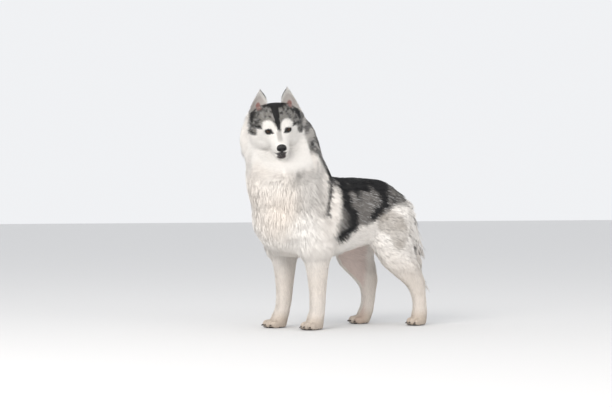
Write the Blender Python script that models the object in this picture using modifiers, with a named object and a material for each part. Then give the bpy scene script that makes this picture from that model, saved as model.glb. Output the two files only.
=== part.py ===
"""Siberian husky, standing with its head turned to its left: a life-size still model.

Metres, +Z up. The dog faces -Y, its left side is +X and its paws stand on z = 0.
The body is modelled whole and parted into named pieces by thin cuts.
Every table below is in centimetres on a husky that stands 57 cm at the withers.
"""

import math

import bmesh
import bpy
import numpy as np
from mathutils import Matrix, Vector
from mathutils.bvhtree import BVHTree

WITHERS_HEIGHT = 0.57
CM = WITHERS_HEIGHT / 57.0
GAP = 0.0003

# The head: where it sits, and how it turns, nods and leans.
HEAD_AT = (2.4, -34.5, 74.9)
HEAD_YAW = math.radians(69.5)
HEAD_PITCH = math.radians(23.0)
HEAD_ROLL = math.radians(6.0)

EYE_AT = (3.65, -5.2, 1.15)
EYE_RADIUS = 1.12
LID_THICKNESS = 0.24
EYE_OPENING = (1.02, 0.66)

EAR_INNER, EAR_OUTER, EAR_TIP = (2.4, 2.6, 8.2), (10.5, 3.8, 3.2), (5.2, 2.4, 14.5)
EAR_THICKNESS = 0.75

# How far the right legs are ahead of the left ones at the foot.
FORE_STRIDE = 6.8
HIND_STRIDE = 14.5
SHOULDER_HEIGHT, HIP_HEIGHT = 62.0, 54.0

# The body's skin: its grid, how far each part of it is smoothed, and its triangles.
VOXEL = 0.25
SMOOTHING = (("blend", "bulk", 220), ("ease", "soft", 50), ("polish", "", 9))
BODY_TRIANGLES = 9300
FINE_TRIANGLES = 2400
FINAL_SHARE = 0.94
MERGE, MEND_ROUNDS = 0.00002, 8

# Locks: each place's coat depth over the core, and a lock's length and width there.
LOCK_SEED = 12
LOCK_PLACES = {
    "ruff": (2.1, 12.5, 5.9),
    "cheek": (1.0, 7.0, 4.2),
    "breech": (1.4, 10.5, 5.6),
    "tail": (1.5, 10.0, 5.0),
    "hem": (1.0, 9.5, 5.6),
}
# Rows stand this many lengths apart, and the locks in a row this many widths.
ROW_STEP, LOCK_STEP = 0.62, 0.95
LOCK_TRIALS = 30000
LOCK_STEPS = 12
LOCK_SHORTEST = 6
LOCK_SWERVE = 0.35
LOCK_THICKNESS = 0.34
LOCK_SINK = 0.9
LOCK_CLEAR = 0.1
# Along a lock: place, how far it has risen through the coat (None is below the core), and its width.
LOCK_SHAPE = [(0.0, None, 0.7), (0.27, 0.5, 1.0), (0.62, 0.95, 0.74), (1.0, 1.25, 0.0)]

# Trunk sections along Y: y, middle height, half-width, reach up, reach down.
TRUNK = [
    (-41.6, 42.5, 2.5, 4.0, 4.0),
    (-40.2, 42.5, 7.4, 9.4, 8.2),
    (-36.6, 42.5, 10.9, 13.4, 11.8),
    (-31.0, 42.2, 12.8, 15.2, 13.6),
    (-24.0, 41.8, 14.0, 15.9, 14.4),
    (-15.0, 41.6, 14.5, 15.7, 14.3),
    (-5.0, 42.4, 14.2, 14.7, 14.3),
    (4.0, 43.8, 13.4, 13.2, 13.2),
    (11.0, 45.0, 12.4, 11.4, 11.2),
    (16.0, 45.0, 11.2, 8.9, 9.0),
    (19.4, 44.4, 9.2, 6.3, 7.6),
    (21.6, 43.6, 6.2, 3.6, 5.2),
    (22.4, 43.2, 2.6, 1.6, 2.4),
]

# Neck sections going up: x, y, z, turn in degrees, half-width, reach forward, reach back.
NECK = [
    (0.0, -22.0, 38.0, 0, 12.0, 15.8, 12.0),
    (0.0, -24.6, 45.5, 0, 14.2, 17.6, 16.0),
    (0.0, -27.0, 52.5, 4, 15.2, 17.2, 16.8),
    (0.0, -29.0, 59.5, 22, 16.0, 14.2, 16.0),
    (-0.4, -30.9, 66.0, 48, 15.4, 7.4, 13.6),
    (-0.6, -31.9, 71.5, 62, 14.9, 3.4, 12.2),
    (-0.4, -32.3, 76.5, 66, 13.2, 1.6, 10.2),
    (0.6, -32.6, 80.6, 66, 9.0, 0.8, 7.2),
]

# Leg sections going down, left side: z, front y, rear y, x, half-width.
FORELEG = [
    (46.0, -31.0, -15.0, 7.0, 5.0),
    (40.0, -32.5, -13.5, 8.6, 5.9),
    (34.0, -31.0, -13.8, 9.4, 5.6),
    (30.0, -28.8, -14.6, 9.3, 5.0),
    (27.0, -27.0, -15.4, 9.0, 4.4),
    (23.0, -25.2, -16.0, 8.6, 3.75),
    (18.0, -24.1, -16.4, 8.2, 3.25),
    (13.0, -23.3, -16.7, 7.9, 2.95),
    (10.0, -23.2, -16.8, 7.8, 2.95),
    (7.0, -23.3, -17.1, 7.8, 2.8),
    (4.5, -24.2, -17.6, 7.85, 3.0),
    (2.2, -24.8, -17.9, 7.9, 3.1),
    (0.2, -24.4, -18.2, 7.9, 2.8),
]
HINDLEG = [
    (49.0, 5.5, 21.0, 6.2, 4.6),
    (43.0, 3.0, 22.8, 7.6, 5.8),
    (37.0, 2.2, 22.9, 8.5, 5.8),
    (32.0, 2.6, 22.6, 8.9, 5.3),
    (28.0, 4.4, 22.6, 9.1, 4.7),
    (25.0, 6.6, 23.2, 9.2, 4.2),
    (22.0, 9.9, 24.6, 9.2, 3.6),
    (19.5, 13.2, 26.1, 9.2, 3.15),
    (17.2, 16.4, 27.2, 9.2, 2.85),
    (15.0, 19.0, 27.3, 9.1, 2.7),
    (12.5, 20.8, 27.4, 9.1, 2.6),
    (9.0, 22.0, 27.8, 9.0, 2.55),
    (6.0, 22.0, 27.9, 9.0, 2.65),
    (4.0, 21.6, 27.8, 9.0, 2.8),
    (2.0, 21.2, 27.6, 9.0, 2.9),
    (0.2, 21.4, 27.2, 9.0, 2.6),
]

# Tail sections from root to tip: y, z, half-width, half-depth.
TAIL = [
    (17.4, 48.0, 3.0, 2.6),
    (20.8, 46.9, 3.4, 2.9),
    (23.9, 44.2, 3.7, 3.1),
    (26.0, 39.8, 4.0, 3.3),
    (26.9, 34.0, 4.2, 3.6),
    (27.3, 28.0, 4.0, 3.6),
    (28.6, 22.5, 3.4, 3.1),
    (30.6, 18.0, 2.2, 2.0),
    (32.0, 14.8, 0.5, 0.5),
]

# Head sections along the head's own Y: y, middle height, half-width, reach up, reach down.
SKULL = [
    (-13.0, -3.6, 1.7, 1.5, 1.3),
    (-12.2, -3.5, 2.6, 2.2, 1.9),
    (-10.4, -3.3, 3.2, 2.8, 2.3),
    (-8.6, -3.0, 3.5, 3.1, 2.6),
    (-7.2, -2.6, 4.0, 3.6, 3.0),
    (-5.9, -2.0, 5.1, 4.7, 4.2),
    (-4.2, -1.4, 6.6, 6.4, 5.6),
    (-1.8, -0.7, 8.3, 8.3, 6.8),
    (1.6, 0.0, 9.7, 9.0, 7.4),
    (5.0, 0.0, 9.6, 8.5, 7.0),
    (8.0, -0.4, 7.4, 6.6, 5.6),
]
JAW = [
    (-12.3, -6.5, 1.4, 1.0, 1.0),
    (-11.4, -6.6, 2.1, 1.5, 1.6),
    (-9.4, -6.5, 2.7, 2.0, 1.9),
    (-7.0, -6.1, 3.3, 2.6, 2.3),
    (-4.0, -5.4, 4.5, 3.4, 3.2),
    (0.0, -4.4, 6.2, 4.4, 4.2),
]
NOSE_AT, NOSE_RADII = (0.0, -13.25, -2.9), (1.85, 1.25, 1.4)
NOSE_BACK = -13.0

# The line between the lips on the left side, from the front to the corner, and its slit's
# depth and height along the lips and at their corners.
MOUTH = [
    (0.0, -13.4, -5.4),
    (1.6, -12.7, -5.45),
    (2.6, -10.8, -5.5),
    (3.2, -8.6, -5.4),
    (3.9, -6.4, -4.9),
]
MOUTH_SLIT, MOUTH_CORNER = (0.544, 0.16), (0.192, 0.05)

# Each nostril and the slit beside it: place from the nose's middle, radii and lean.
NOSTRIL = ((0.85, -1.15, -0.1), (0.36, 0.7, 0.42), -28)
NOSE_SLIT = ((1.35, -0.95, -0.35), (0.5, 0.5, 0.16), 22)

# A claw: y and z along it and its radius, and how far its root is inside the toe.
CLAW = [(0.35, 0.02, 0.22), (-0.1, 0.0, 0.25), (-0.55, -0.12, 0.18), (-1.0, -0.38, 0.03)]
CLAW_ROOT = 0.35

# Colour and roughness of each finish.
LOOKS = {
    "pale_coat": ((0.78, 0.74, 0.68), 0.85),
    "dark_coat": ((0.10, 0.10, 0.11), 0.85),
    "nose_skin": ((0.02, 0.02, 0.022), 0.45),
    "eye": ((0.12, 0.055, 0.025), 0.12),
    "claw": ((0.06, 0.05, 0.045), 0.4),
}

X_AXIS, Y_AXIS, Z_AXIS = Vector((1, 0, 0)), Vector((0, 1, 0)), Vector((0, 0, 1))


def head_matrix():
    """Takes the head's own centimetres to the dog's."""
    turn = Matrix.Rotation(HEAD_YAW, 4, "Z")
    nod = Matrix.Rotation(HEAD_PITCH, 4, "X")
    lean = Matrix.Rotation(-HEAD_ROLL, 4, "Y")
    return Matrix.Translation(HEAD_AT) @ turn @ nod @ lean


HEAD = head_matrix()


def clear_scene():
    for obj in list(bpy.data.objects):
        bpy.data.objects.remove(obj, do_unlink=True)


def smooth_rows(rows, steps=3):
    """Catmull-Rom rows between the given ones, so that a few sections make a smooth loft."""
    rows = np.array(rows, float)
    padded = np.vstack([2 * rows[0] - rows[1], rows, 2 * rows[-1] - rows[-2]])
    made = []
    for i in range(1, len(padded) - 2):
        a, b, c, d = padded[i - 1 : i + 3]
        for k in range(steps):
            t = k / steps
            made.append(
                0.5 * (2 * b + (c - a) * t + (2 * a - 5 * b + 4 * c - d) * t**2
                       + (3 * b - a - 3 * c + d) * t**3)
            )
    made.append(rows[-1])
    return np.array(made)


def section(centre, side, front, half_side, reach_front, reach_back, power=2.2, count=28):
    """A rounded, slightly squared ring of points in the plane of side and front."""
    ring = []
    for i in range(count):
        angle = 2 * math.pi * i / count
        c, s = math.cos(angle), math.sin(angle)
        across = half_side * math.copysign(abs(c) ** (2 / power), c)
        along = (reach_front if s > 0 else reach_back) * math.copysign(abs(s) ** (2 / power), s)
        ring.append(Vector(centre) + side * across + front * along)
    return ring


def new_object(name, bm):
    mesh = bpy.data.meshes.new(name)
    bmesh.ops.recalc_face_normals(bm, faces=bm.faces)
    bm.to_mesh(mesh)
    bm.free()
    obj = bpy.data.objects.new(name, mesh)
    bpy.context.scene.collection.objects.link(obj)
    return obj


def loft(name, rings, matrix=None):
    """A closed body through rings of points, in centimetres."""
    bm = bmesh.new()
    layers = [[bm.verts.new(point * CM) for point in ring] for ring in rings]
    count = len(layers[0])
    for low, high in zip(layers, layers[1:]):
        for i in range(count):
            j = (i + 1) % count
            bm.faces.new((low[i], low[j], high[j], high[i]))
    bm.faces.new(layers[0])
    bm.faces.new(layers[-1])
    if matrix is not None:
        bm.transform(Matrix.Scale(CM, 4) @ matrix @ Matrix.Scale(1 / CM, 4))
    return new_object(name, bm)


def ellipsoid(name, centre, radii, turn=(0, 0, 0), matrix=None, segments=20):
    """A stretched sphere: a muscle, a toe or a fold."""
    bm = bmesh.new()
    bmesh.ops.create_uvsphere(bm, u_segments=segments, v_segments=segments // 2, radius=1)
    place = Matrix.Translation(centre)
    for axis, degrees in zip("XYZ", turn):
        place = place @ Matrix.Rotation(math.radians(degrees), 4, axis)
    place = place @ Matrix.Diagonal((*radii, 1))
    if matrix is not None:
        place = matrix @ place
    bm.transform(Matrix.Scale(CM, 4) @ place)
    return new_object(name, bm)


def trunk():
    rings = [
        section((0, y, z), X_AXIS, Z_AXIS, half, up, down, 2.15, 36)
        for y, z, half, up, down in smooth_rows(TRUNK)
    ]
    return loft("trunk", rings)


def neck():
    rings = []
    for x, y, z, turn, half, front, back in smooth_rows(NECK):
        angle = math.radians(turn)
        side = Vector((math.cos(angle), math.sin(angle), 0))
        ahead = Vector((math.sin(angle), -math.cos(angle), 0))
        rings.append(section((x, y, z), side, ahead, half, front, back, 2.1, 36))
    return loft("neck", rings)


def stride_of(z, stride, pivot):
    """How far a leg's section at height z moves when the foot moves by stride."""
    return stride * max(0.0, 1 - z / pivot)


def leg(name, rows, side, stride, pivot):
    rings = []
    for z, front, rear, x, half in smooth_rows(rows):
        shift = -stride_of(z, stride, pivot)
        centre = (side * x, (front + rear) / 2 + shift, z)
        reach = (rear - front) / 2
        rings.append(section(centre, X_AXIS, -Y_AXIS, half, reach, reach, 2.1, 24))
    return loft(name, rings)


def tail_rings(rows):
    rows = smooth_rows(rows, 4)
    rings = []
    for i, (y, z, half, depth) in enumerate(rows):
        ahead, behind = rows[min(i + 1, len(rows) - 1)], rows[max(i - 1, 0)]
        along = Vector((0, ahead[0] - behind[0], ahead[1] - behind[1])).normalized()
        rings.append(section((0, y, z), X_AXIS, X_AXIS.cross(along), half, depth, depth, 2.0, 20))
    return rings


# Toes across a paw: place in half-widths, how far the toe stands back, and its height.
TOES = [(-0.70, 0.15, 1.35), (-0.25, 0.0, 1.55), (0.25, 0.0, 1.55), (0.70, 0.15, 1.35)]

# Each paw: side, x, tip of the middle toes, heel, half-width and toes-out in degrees.
PAWS = {
    "left_fore_paw": (1, 7.9, -27.6, -17.9, 3.5, 14),
    "right_fore_paw": (-1, 7.9, -27.6 - FORE_STRIDE, -17.9 - FORE_STRIDE, 3.5, -2),
    "left_hind_paw": (1, 9.0, 19.0, 27.6, 3.2, 8),
    "right_hind_paw": (-1, 9.0, 19.0 - HIND_STRIDE, 27.6 - HIND_STRIDE, 3.2, 8),
}


def paw_spin(side, x, front, rear, half, turn):
    heel = Vector((side * x, rear - 0.42 * (rear - front), 0))
    turned = Matrix.Rotation(math.radians(turn) * side, 4, "Z")
    return Matrix.Translation(heel) @ turned @ Matrix.Translation(-heel)


def paw(name):
    """Four toes with knuckles round a pad."""
    side, x, front, rear, half, turn = PAWS[name]
    length = rear - front
    spin = paw_spin(*PAWS[name])
    pad = (side * x, rear - 0.40 * length, 1.7)
    pieces = [ellipsoid(name + "_pad", pad, (half * 0.95, length * 0.42, 2.0), matrix=spin)]
    reach = length * 0.25
    for k, (offset, back, height) in enumerate(TOES):
        toe = (side * x + offset * half, front + reach + back * length, height)
        toe_radii = (half * 0.275, reach, height + 0.2)
        pieces.append(ellipsoid(f"{name}_toe_{k}", toe, toe_radii, (-8, 0, 6 * offset), spin))
        knuckle = (toe[0] - 0.1 * offset, front + reach * 1.75 + back * length, height + 0.8)
        knuckle_radii = (half * 0.26, reach * 0.75, 1.2)
        pieces.append(ellipsoid(f"{name}_knuckle_{k}", knuckle, knuckle_radii, matrix=spin))
    return pieces


def claw_places(name):
    """Where each claw leaves its toe, and its turn."""
    side, x, front, rear, half, turn = PAWS[name]
    spin = paw_spin(*PAWS[name])
    places = []
    for offset, back, height in TOES:
        leaves = front + back * (rear - front) + CLAW_ROOT
        at = spin @ Vector((side * x + offset * half, leaves, height - 0.2))
        places.append((*at, turn * side + 6 * offset))
    return places


def side_of(place, side):
    """A place given for the left, on the side asked for."""
    return (side * place[0], place[1], place[2])


def head_flesh():
    """Skull with muzzle, lower jaw, cheeks, brows and lips, as overlapping bodies."""
    pieces = []
    for name, rows in (("skull", SKULL), ("jaw", JAW)):
        rings = [
            section((0, y, z), X_AXIS, Z_AXIS, half, up, down, 2.2, 32)
            for y, z, half, up, down in smooth_rows(rows)
        ]
        pieces.append(loft(name, rings, HEAD))
    for side in (-1, 1):
        shapes = {
            "cheek": ((side * 6.3, 0.8, -3.4), (4.4, 4.6, 5.2), (0, side * 12, side * -20)),
            "jowl": ((side * 4.6, -1.6, -4.2), (3.6, 5.0, 3.5), (0, 0, side * -30)),
            "ruff": ((side * 7.7, 4.6, -1.4), (4.5, 3.6, 6.8), (0, side * 8, side * -24)),
            "brow": ((side * 3.0, -4.9, 2.3), (1.9, 1.1, 0.8), (0, side * -20, side * 14)),
            "ear_mound": ((side * 6.3, 3.4, 4.4), (4.9, 2.7, 2.2), (0, side * 30, 0)),
            "cheekbone": ((side * 5.6, -1.9, -1.6), (2.4, 3.2, 2.8), (0, 0, side * -24)),
            "lip": ((side * 1.9, -9.7, -4.3), (1.5, 3.3, 1.35), (4, 0, side * -6)),
            "lip_front": ((side * 0.95, -12.2, -4.6), (1.1, 1.15, 0.9), (0, 0, 0)),
            "lids": (side_of(EYE_AT, side), (EYE_RADIUS + LID_THICKNESS,) * 3, (0, 0, 0)),
        }
        for part, (centre, radii, turn) in shapes.items():
            pieces.append(ellipsoid(f"{part}_{side}", centre, radii, turn, HEAD))
    pieces.append(ellipsoid("bridge", (0, -9.2, -1.4), (1.5, 3.8, 1.1), (10, 0, 0), HEAD))
    pieces.append(ellipsoid("nose_pad", NOSE_AT, NOSE_RADII, (0, 0, 0), HEAD))
    return pieces


def flesh_pieces():
    pieces = [trunk(), neck(), *head_flesh()]
    for side, stride_fore, stride_hind in ((1, 0, 0), (-1, FORE_STRIDE, HIND_STRIDE)):
        tag = "left" if side > 0 else "right"
        pieces.append(leg(f"{tag}_fore", FORELEG, side, stride_fore, SHOULDER_HEIGHT))
        pieces.append(leg(f"{tag}_hind", HINDLEG, side, stride_hind, HIP_HEIGHT))
        pieces += paw(f"{tag}_fore_paw") + paw(f"{tag}_hind_paw")
        shoulder = (side * 9.6, -26.0 - stride_of(42, stride_fore, SHOULDER_HEIGHT), 42.0)
        pieces.append(ellipsoid(f"{tag}_shoulder", shoulder, (5.0, 7.2, 11.0), (-20, side * 6, 0)))
    pieces.append(loft("tail", tail_rings(TAIL)))
    return pieces


def evaluated_mesh(obj):
    graph = bpy.context.evaluated_depsgraph_get()
    return bpy.data.meshes.new_from_object(obj.evaluated_get(graph))


def apply_modifiers(obj):
    mesh = evaluated_mesh(obj)
    old = obj.data
    obj.modifiers.clear()
    obj.data = mesh
    bpy.data.meshes.remove(old)


def join(name, pieces):
    """All the pieces' meshes as one object; the pieces are removed."""
    bm = bmesh.new()
    for piece in pieces:
        bm.from_mesh(piece.data)
        bpy.data.objects.remove(piece, do_unlink=True)
    return new_object(name, bm)


def points_of(obj):
    flat = np.empty(len(obj.data.vertices) * 3)
    obj.data.vertices.foreach_get("co", flat)
    return flat.reshape(-1, 3)


def in_head(points):
    """World points in the head's own centimetres."""
    to_head = np.array(HEAD.inverted())
    return (points / CM) @ to_head[:3, :3].T + to_head[:3, 3]


def ramp(values, low, high):
    """0 below low, 1 above high, smooth between."""
    t = np.clip((values - low) / (high - low), 0, 1)
    return t * t * (3 - 2 * t)


def set_group(obj, name, weights):
    group = obj.vertex_groups.new(name=name)
    for level in range(1, 11):
        chosen = np.nonzero(np.round(weights * 10) == level)[0]
        group.add(chosen.tolist(), level / 10, "REPLACE")


def fused_flesh():
    """One smooth skin over all the overlapping bodies, out to the tips of the coat."""
    flesh = join("flesh", flesh_pieces())
    remesh = flesh.modifiers.new("fuse", "REMESH")
    remesh.mode = "VOXEL"
    remesh.voxel_size = VOXEL * CM
    apply_modifiers(flesh)
    points = points_of(flesh)
    soft = 1 - fine_places(points)
    set_group(flesh, "soft", soft)
    set_group(flesh, "bulk", soft * ramp(points[:, 2] / CM, 24.0, 34.0))
    for name, group, rounds in SMOOTHING:
        smooth = flesh.modifiers.new(name, "SMOOTH")
        smooth.factor = 0.6
        smooth.iterations = rounds
        smooth.vertex_group = group
    apply_modifiers(flesh)
    return flesh


def core_of(flesh):
    """The flesh drawn in by the depth of the locks that grow on it."""
    normals = np.empty(len(flesh.data.vertices) * 3)
    flesh.data.vertices.foreach_get("normal", normals)
    points = points_of(flesh)
    points -= normals.reshape(-1, 3) * coat_depth(points)[:, None] * CM
    flesh.data.vertices.foreach_set("co", points.ravel())
    flesh.data.update()


def place_weights(points):
    """How strongly each kind of lock grows at world points: a dictionary of arrays from 0 to 1."""
    x, y, z = (points / CM).T
    local = in_head(points)
    below_head = 1 - ramp(local[:, 2] - 0.09 * (local[:, 1] - 3.0), -10.2, -7.6)
    behind_face = ramp(local[:, 1], 2.0, 5.0) * (1 - ramp(local[:, 2], -1.0, 4.0))
    front = 1 - ramp(y + 0.15 * (z - 45.0), -19.0, -10.0)
    ruff = front * ramp(z, 29.0, 36.0) * np.maximum(below_head, behind_face)
    ruff *= 1 - ramp(np.abs(x), 8.5, 14.0) * (1 - ramp(z, 42.0, 52.0))
    cheek = (1 - below_head) * (1 - ramp(local[:, 1], 2.0, 5.0)) * ramp(local[:, 1], -3.5, -0.5)
    cheek *= ramp(np.abs(local[:, 0]), 4.5, 6.5) * (1 - ramp(local[:, 2], -1.5, 1.5))
    on_tail = ramp(y, 22.4, 24.0) * (np.abs(x) < 6.0) * ramp(z, 13.0, 15.5) * (1 - ramp(z, 39.0, 43.0))
    ahead = HIND_STRIDE * (x < 0) * np.clip(1 - z / HIP_HEIGHT, 0, 1)
    breech = ramp(y + ahead, 14.0, 20.0) * ramp(z, 22.0, 27.0) * (1 - ramp(z, 42.0, 47.0)) * (1 - on_tail)
    hem = ramp(-z, -32.0, -29.0) * (1 - ramp(-z, -27.0, -25.0))
    hem *= ramp(y, -12.0, -9.0) * (1 - ramp(y, 1.0, 5.0))
    return {"ruff": ruff, "cheek": cheek, "breech": breech, "tail": on_tail, "hem": hem}


def coat_depth(points):
    depth = np.zeros(len(points))
    for name, weight in place_weights(points).items():
        depth = np.maximum(depth, weight * LOCK_PLACES[name][0])
    return depth


def lie_of(place, point):
    """Which way the coat lies at a point of the dog, in centimetres."""
    side = 1.0 if point.x > 0 else -1.0
    if place == "cheek":
        return HEAD.to_3x3() @ Vector((side * 0.75, 0.5, -0.6))
    if place == "tail":
        return Vector((0.10 * point.x, 0.25, -1.0))
    if place == "breech":
        return Vector((0.0, 0.55, -1.0))
    if place == "hem":
        return Vector((0.0, 1.0, -0.35))
    behind = min(1.0, max(0.0, (point.y + 36.0) / 16.0))
    return Vector((-0.02 * point.x, 0.1 + 0.75 * behind, -1.0))


def node_at(point):
    """The first region that holds a point, so that a lock can stay inside its own node."""
    for name, (outline, low, high, inverse) in REGION_TESTS:
        local = inverse @ point
        if not low < local.x < high:
            continue
        if all((b[0] - a[0]) * (local.z - a[1]) - (b[1] - a[1]) * (local.y - a[0]) > 0
               for a, b in zip(outline, outline[1:] + outline[:1])):
            return name
    return "torso"


def surface_tree(obj):
    """A search tree over the surface, in centimetres."""
    vertices = [vertex.co / CM for vertex in obj.data.vertices]
    return BVHTree.FromPolygons(vertices, [tuple(face.vertices) for face in obj.data.polygons])


def scattered_roots(obj, rng):
    """Seeded points spread evenly over each place that grows locks, as (place, centimetres)."""
    obj.data.calc_loop_triangles()
    corners = np.empty(len(obj.data.loop_triangles) * 3, int)
    obj.data.loop_triangles.foreach_get("vertices", corners)
    a, b, c = points_of(obj)[corners.reshape(-1, 3)].transpose(1, 0, 2)
    area = np.linalg.norm(np.cross(b - a, c - a), axis=1)
    chosen = rng.choice(len(area), LOCK_TRIALS, p=area / area.sum())
    u, v = rng.random((2, len(chosen), 1))
    points = a[chosen] + (b - a)[chosen] * u + (c - a)[chosen] * (1 - u) * v
    weights = place_weights(points)
    kinds = list(LOCK_PLACES)
    table = np.array([weights[kind] for kind in kinds])
    kept, places = [], np.empty((0, 3))
    for point, best, weight in zip(points / CM, table.argmax(axis=0), table.max(axis=0)):
        if weight < 0.5:
            continue
        kind = kinds[best]
        _, length, width = LOCK_PLACES[kind]
        apart = places - point
        flow = np.array(lie_of(kind, Vector(point)).normalized())
        along = apart @ flow
        across = np.linalg.norm(apart - along[:, None] * flow, axis=1)
        if ((along / (ROW_STEP * length)) ** 2 + (across / (LOCK_STEP * width)) ** 2 > 1).all():
            kept.append((kind, point))
            places = np.vstack([places, point])
    return kept


def lock(name, tree, place, root, rng):
    """One flat, tapered lock that leaves the core at its root and ends at the coat's tips."""
    depth, length, width = LOCK_PLACES[place]
    length *= rng.uniform(0.88, 1.15)
    width *= rng.uniform(0.88, 1.12)
    reach = rng.uniform(0.85, 1.1)
    swerve = rng.uniform(-LOCK_SWERVE, LOCK_SWERVE)
    at, path, step = Vector(root), [], length / LOCK_STEPS
    for k in range(LOCK_STEPS + 1):
        hit, normal, _, _ = tree.find_nearest(at)
        flow = lie_of(place, hit)
        flow = (flow - normal * flow.dot(normal)).normalized()
        flow = (flow + normal.cross(flow) * swerve * (k / LOCK_STEPS - 0.3)).normalized()
        path.append((hit.copy(), normal.copy(), normal.cross(flow), node_at(hit + flow * LOCK_CLEAR)))
        at = hit + flow * step
    path = longest_stay(path)
    if len(path) < LOCK_SHORTEST:
        return None
    shorter = len(path) / (LOCK_STEPS + 1)
    rings = []
    for t, rise, breadth in LOCK_SHAPE:
        hit, normal, side, _ = path[round(t * (len(path) - 1))]
        height = -LOCK_SINK if rise is None else depth * rise * reach * shorter**0.5
        half = max(0.05, width / 2 * breadth)
        thick = max(0.05, LOCK_THICKNESS * half)
        centre = hit - normal * (depth - height)
        rings.append([centre + side * half, centre + normal * thick, centre - side * half])
    return loft(name, rings)


def longest_stay(path):
    """The longest stretch of a lock's path that stays in one node."""
    best, start = [], 0
    for k in range(1, len(path) + 1):
        if k == len(path) or path[k][3] != path[start][3]:
            if k - start > len(best):
                best = path[start:k]
            start = k
    return best


def grow_locks(outer_tree, roots, rng):
    made = bpy.data.collections.new("locks")
    bpy.context.scene.collection.children.link(made)
    for k, (place, root) in enumerate(roots):
        piece = lock(f"lock_{k}", outer_tree, place, root, rng)
        if piece is not None:
            bpy.context.scene.collection.objects.unlink(piece)
            made.objects.link(piece)
    return made


def union_with(body, collection):
    """One union of the body with every closed mesh of the collection, which is then removed."""
    join_all = body.modifiers.new("union", "BOOLEAN")
    join_all.operation = "UNION"
    join_all.solver = "MANIFOLD"
    join_all.operand_type = "COLLECTION"
    join_all.collection = collection
    apply_modifiers(body)
    for piece in list(collection.objects):
        bpy.data.objects.remove(piece, do_unlink=True)
    bpy.data.collections.remove(collection)


def settle(body):
    """Melt the locks' crossings into one clean surface and thin it to its triangles."""
    remesh = body.modifiers.new("melt", "REMESH")
    remesh.mode = "VOXEL"
    remesh.voxel_size = VOXEL * CM
    apply_modifiers(body)
    thin(body, fine_places(points_of(body)) < 0.5, BODY_TRIANGLES)
    thin(body, fine_places(points_of(body)) >= 0.5, FINE_TRIANGLES)
    everywhere = np.ones(len(body.data.vertices), bool)
    thin(body, everywhere, FINAL_SHARE * (BODY_TRIANGLES + FINE_TRIANGLES))
    keep_largest(body)


def fine_places(points):
    """1 on the face and the paws, which keep their small forms, and 0 on the rest."""
    local = in_head(points)
    face = ramp(-local[:, 1], -1.0, 2.0) * ramp(local[:, 2], -10.5, -8.5)
    face *= 1 - ramp(np.abs(local[:, 0]), 7.5, 9.0)
    feet = ramp(-points[:, 2] / CM, -8.0, -6.0)
    return np.maximum(face, feet)


def thin(obj, chosen_points, triangles):
    """Decimate round the chosen points until that part has about the triangles named."""
    set_group(obj, "thinned", chosen_points.astype(float))
    obj.data.calc_loop_triangles()
    corners = np.empty(len(obj.data.loop_triangles) * 3, int)
    obj.data.loop_triangles.foreach_get("vertices", corners)
    chosen = int(chosen_points[corners.reshape(-1, 3)].all(axis=1).sum())
    total = len(obj.data.loop_triangles)
    decimate = obj.modifiers.new("thin", "DECIMATE")
    decimate.ratio = min(1.0, (total - chosen + triangles) / total)
    decimate.vertex_group = "thinned"
    decimate.vertex_group_factor = 10.0
    apply_modifiers(obj)
    obj.vertex_groups.clear()


def prism(name, corners, low, high, matrix=None, grow=0.0):
    """A convex outline in (y, z), pushed through from x = low to x = high."""
    count = len(corners)
    centre = Vector((sum(c[0] for c in corners) / count, sum(c[1] for c in corners) / count))
    lines = []
    for i in range(count):
        start, end = Vector(corners[i]), Vector(corners[(i + 1) % count])
        normal = Vector((end.y - start.y, start.x - end.x)).normalized()
        if normal.dot(start - centre) < 0:
            normal = -normal
        lines.append((normal, normal.dot(start) + grow))
    outline = []
    for i in range(count):
        (n1, d1), (n2, d2) = lines[i - 1], lines[i]
        across = n1.x * n2.y - n1.y * n2.x
        outline.append(((d1 * n2.y - d2 * n1.y) / across, (n1.x * d2 - n2.x * d1) / across))
    rings = [[Vector((x, y, z)) for y, z in outline] for x in (low - grow, high + grow)]
    return loft(name, rings, matrix)


def boolean(obj, cutter, operation):
    """Apply one Boolean and keep the cutter for later use."""
    cut = obj.modifiers.new("cut", "BOOLEAN")
    cut.solver = "EXACT"
    cut.operation = operation
    cut.object = cutter
    apply_modifiers(obj)


def mend(bm):
    """Close the faults that thinning leaves: faces at a faulty edge go and the hole is filled."""
    for _ in range(MEND_ROUNDS):
        bmesh.ops.remove_doubles(bm, verts=bm.verts, dist=MERGE)
        bmesh.ops.dissolve_degenerate(bm, dist=MERGE, edges=bm.edges)
        bmesh.ops.triangulate(bm, faces=bm.faces)
        faulty = {face for edge in bm.edges if len(edge.link_faces) != 2 for face in edge.link_faces}
        faulty |= {face for vertex in bm.verts if not vertex.is_manifold for face in vertex.link_faces}
        if not faulty:
            break
        bmesh.ops.delete(bm, geom=list(faulty), context="FACES")
        bmesh.ops.holes_fill(bm, edges=[edge for edge in bm.edges if edge.is_boundary], sides=0)
    bmesh.ops.recalc_face_normals(bm, faces=bm.faces)


def keep_largest(obj):
    """Drop the crumbs that a cut leaves: only the body with the most faces stays."""
    bm = bmesh.new()
    bm.from_mesh(obj.data)
    bm.verts.ensure_lookup_table()
    seen, islands = set(), []
    for start in bm.verts:
        if start.index in seen:
            continue
        stack, island = [start], []
        seen.add(start.index)
        while stack:
            vertex = stack.pop()
            island.append(vertex)
            for edge in vertex.link_edges:
                other = edge.other_vert(vertex)
                if other.index not in seen:
                    seen.add(other.index)
                    stack.append(other)
        islands.append(island)
    islands.sort(key=len)
    doomed = [vertex for island in islands[:-1] for vertex in island]
    bmesh.ops.delete(bm, geom=doomed, context="VERTS")
    mend(bm)
    bm.to_mesh(obj.data)
    bm.free()


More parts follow.
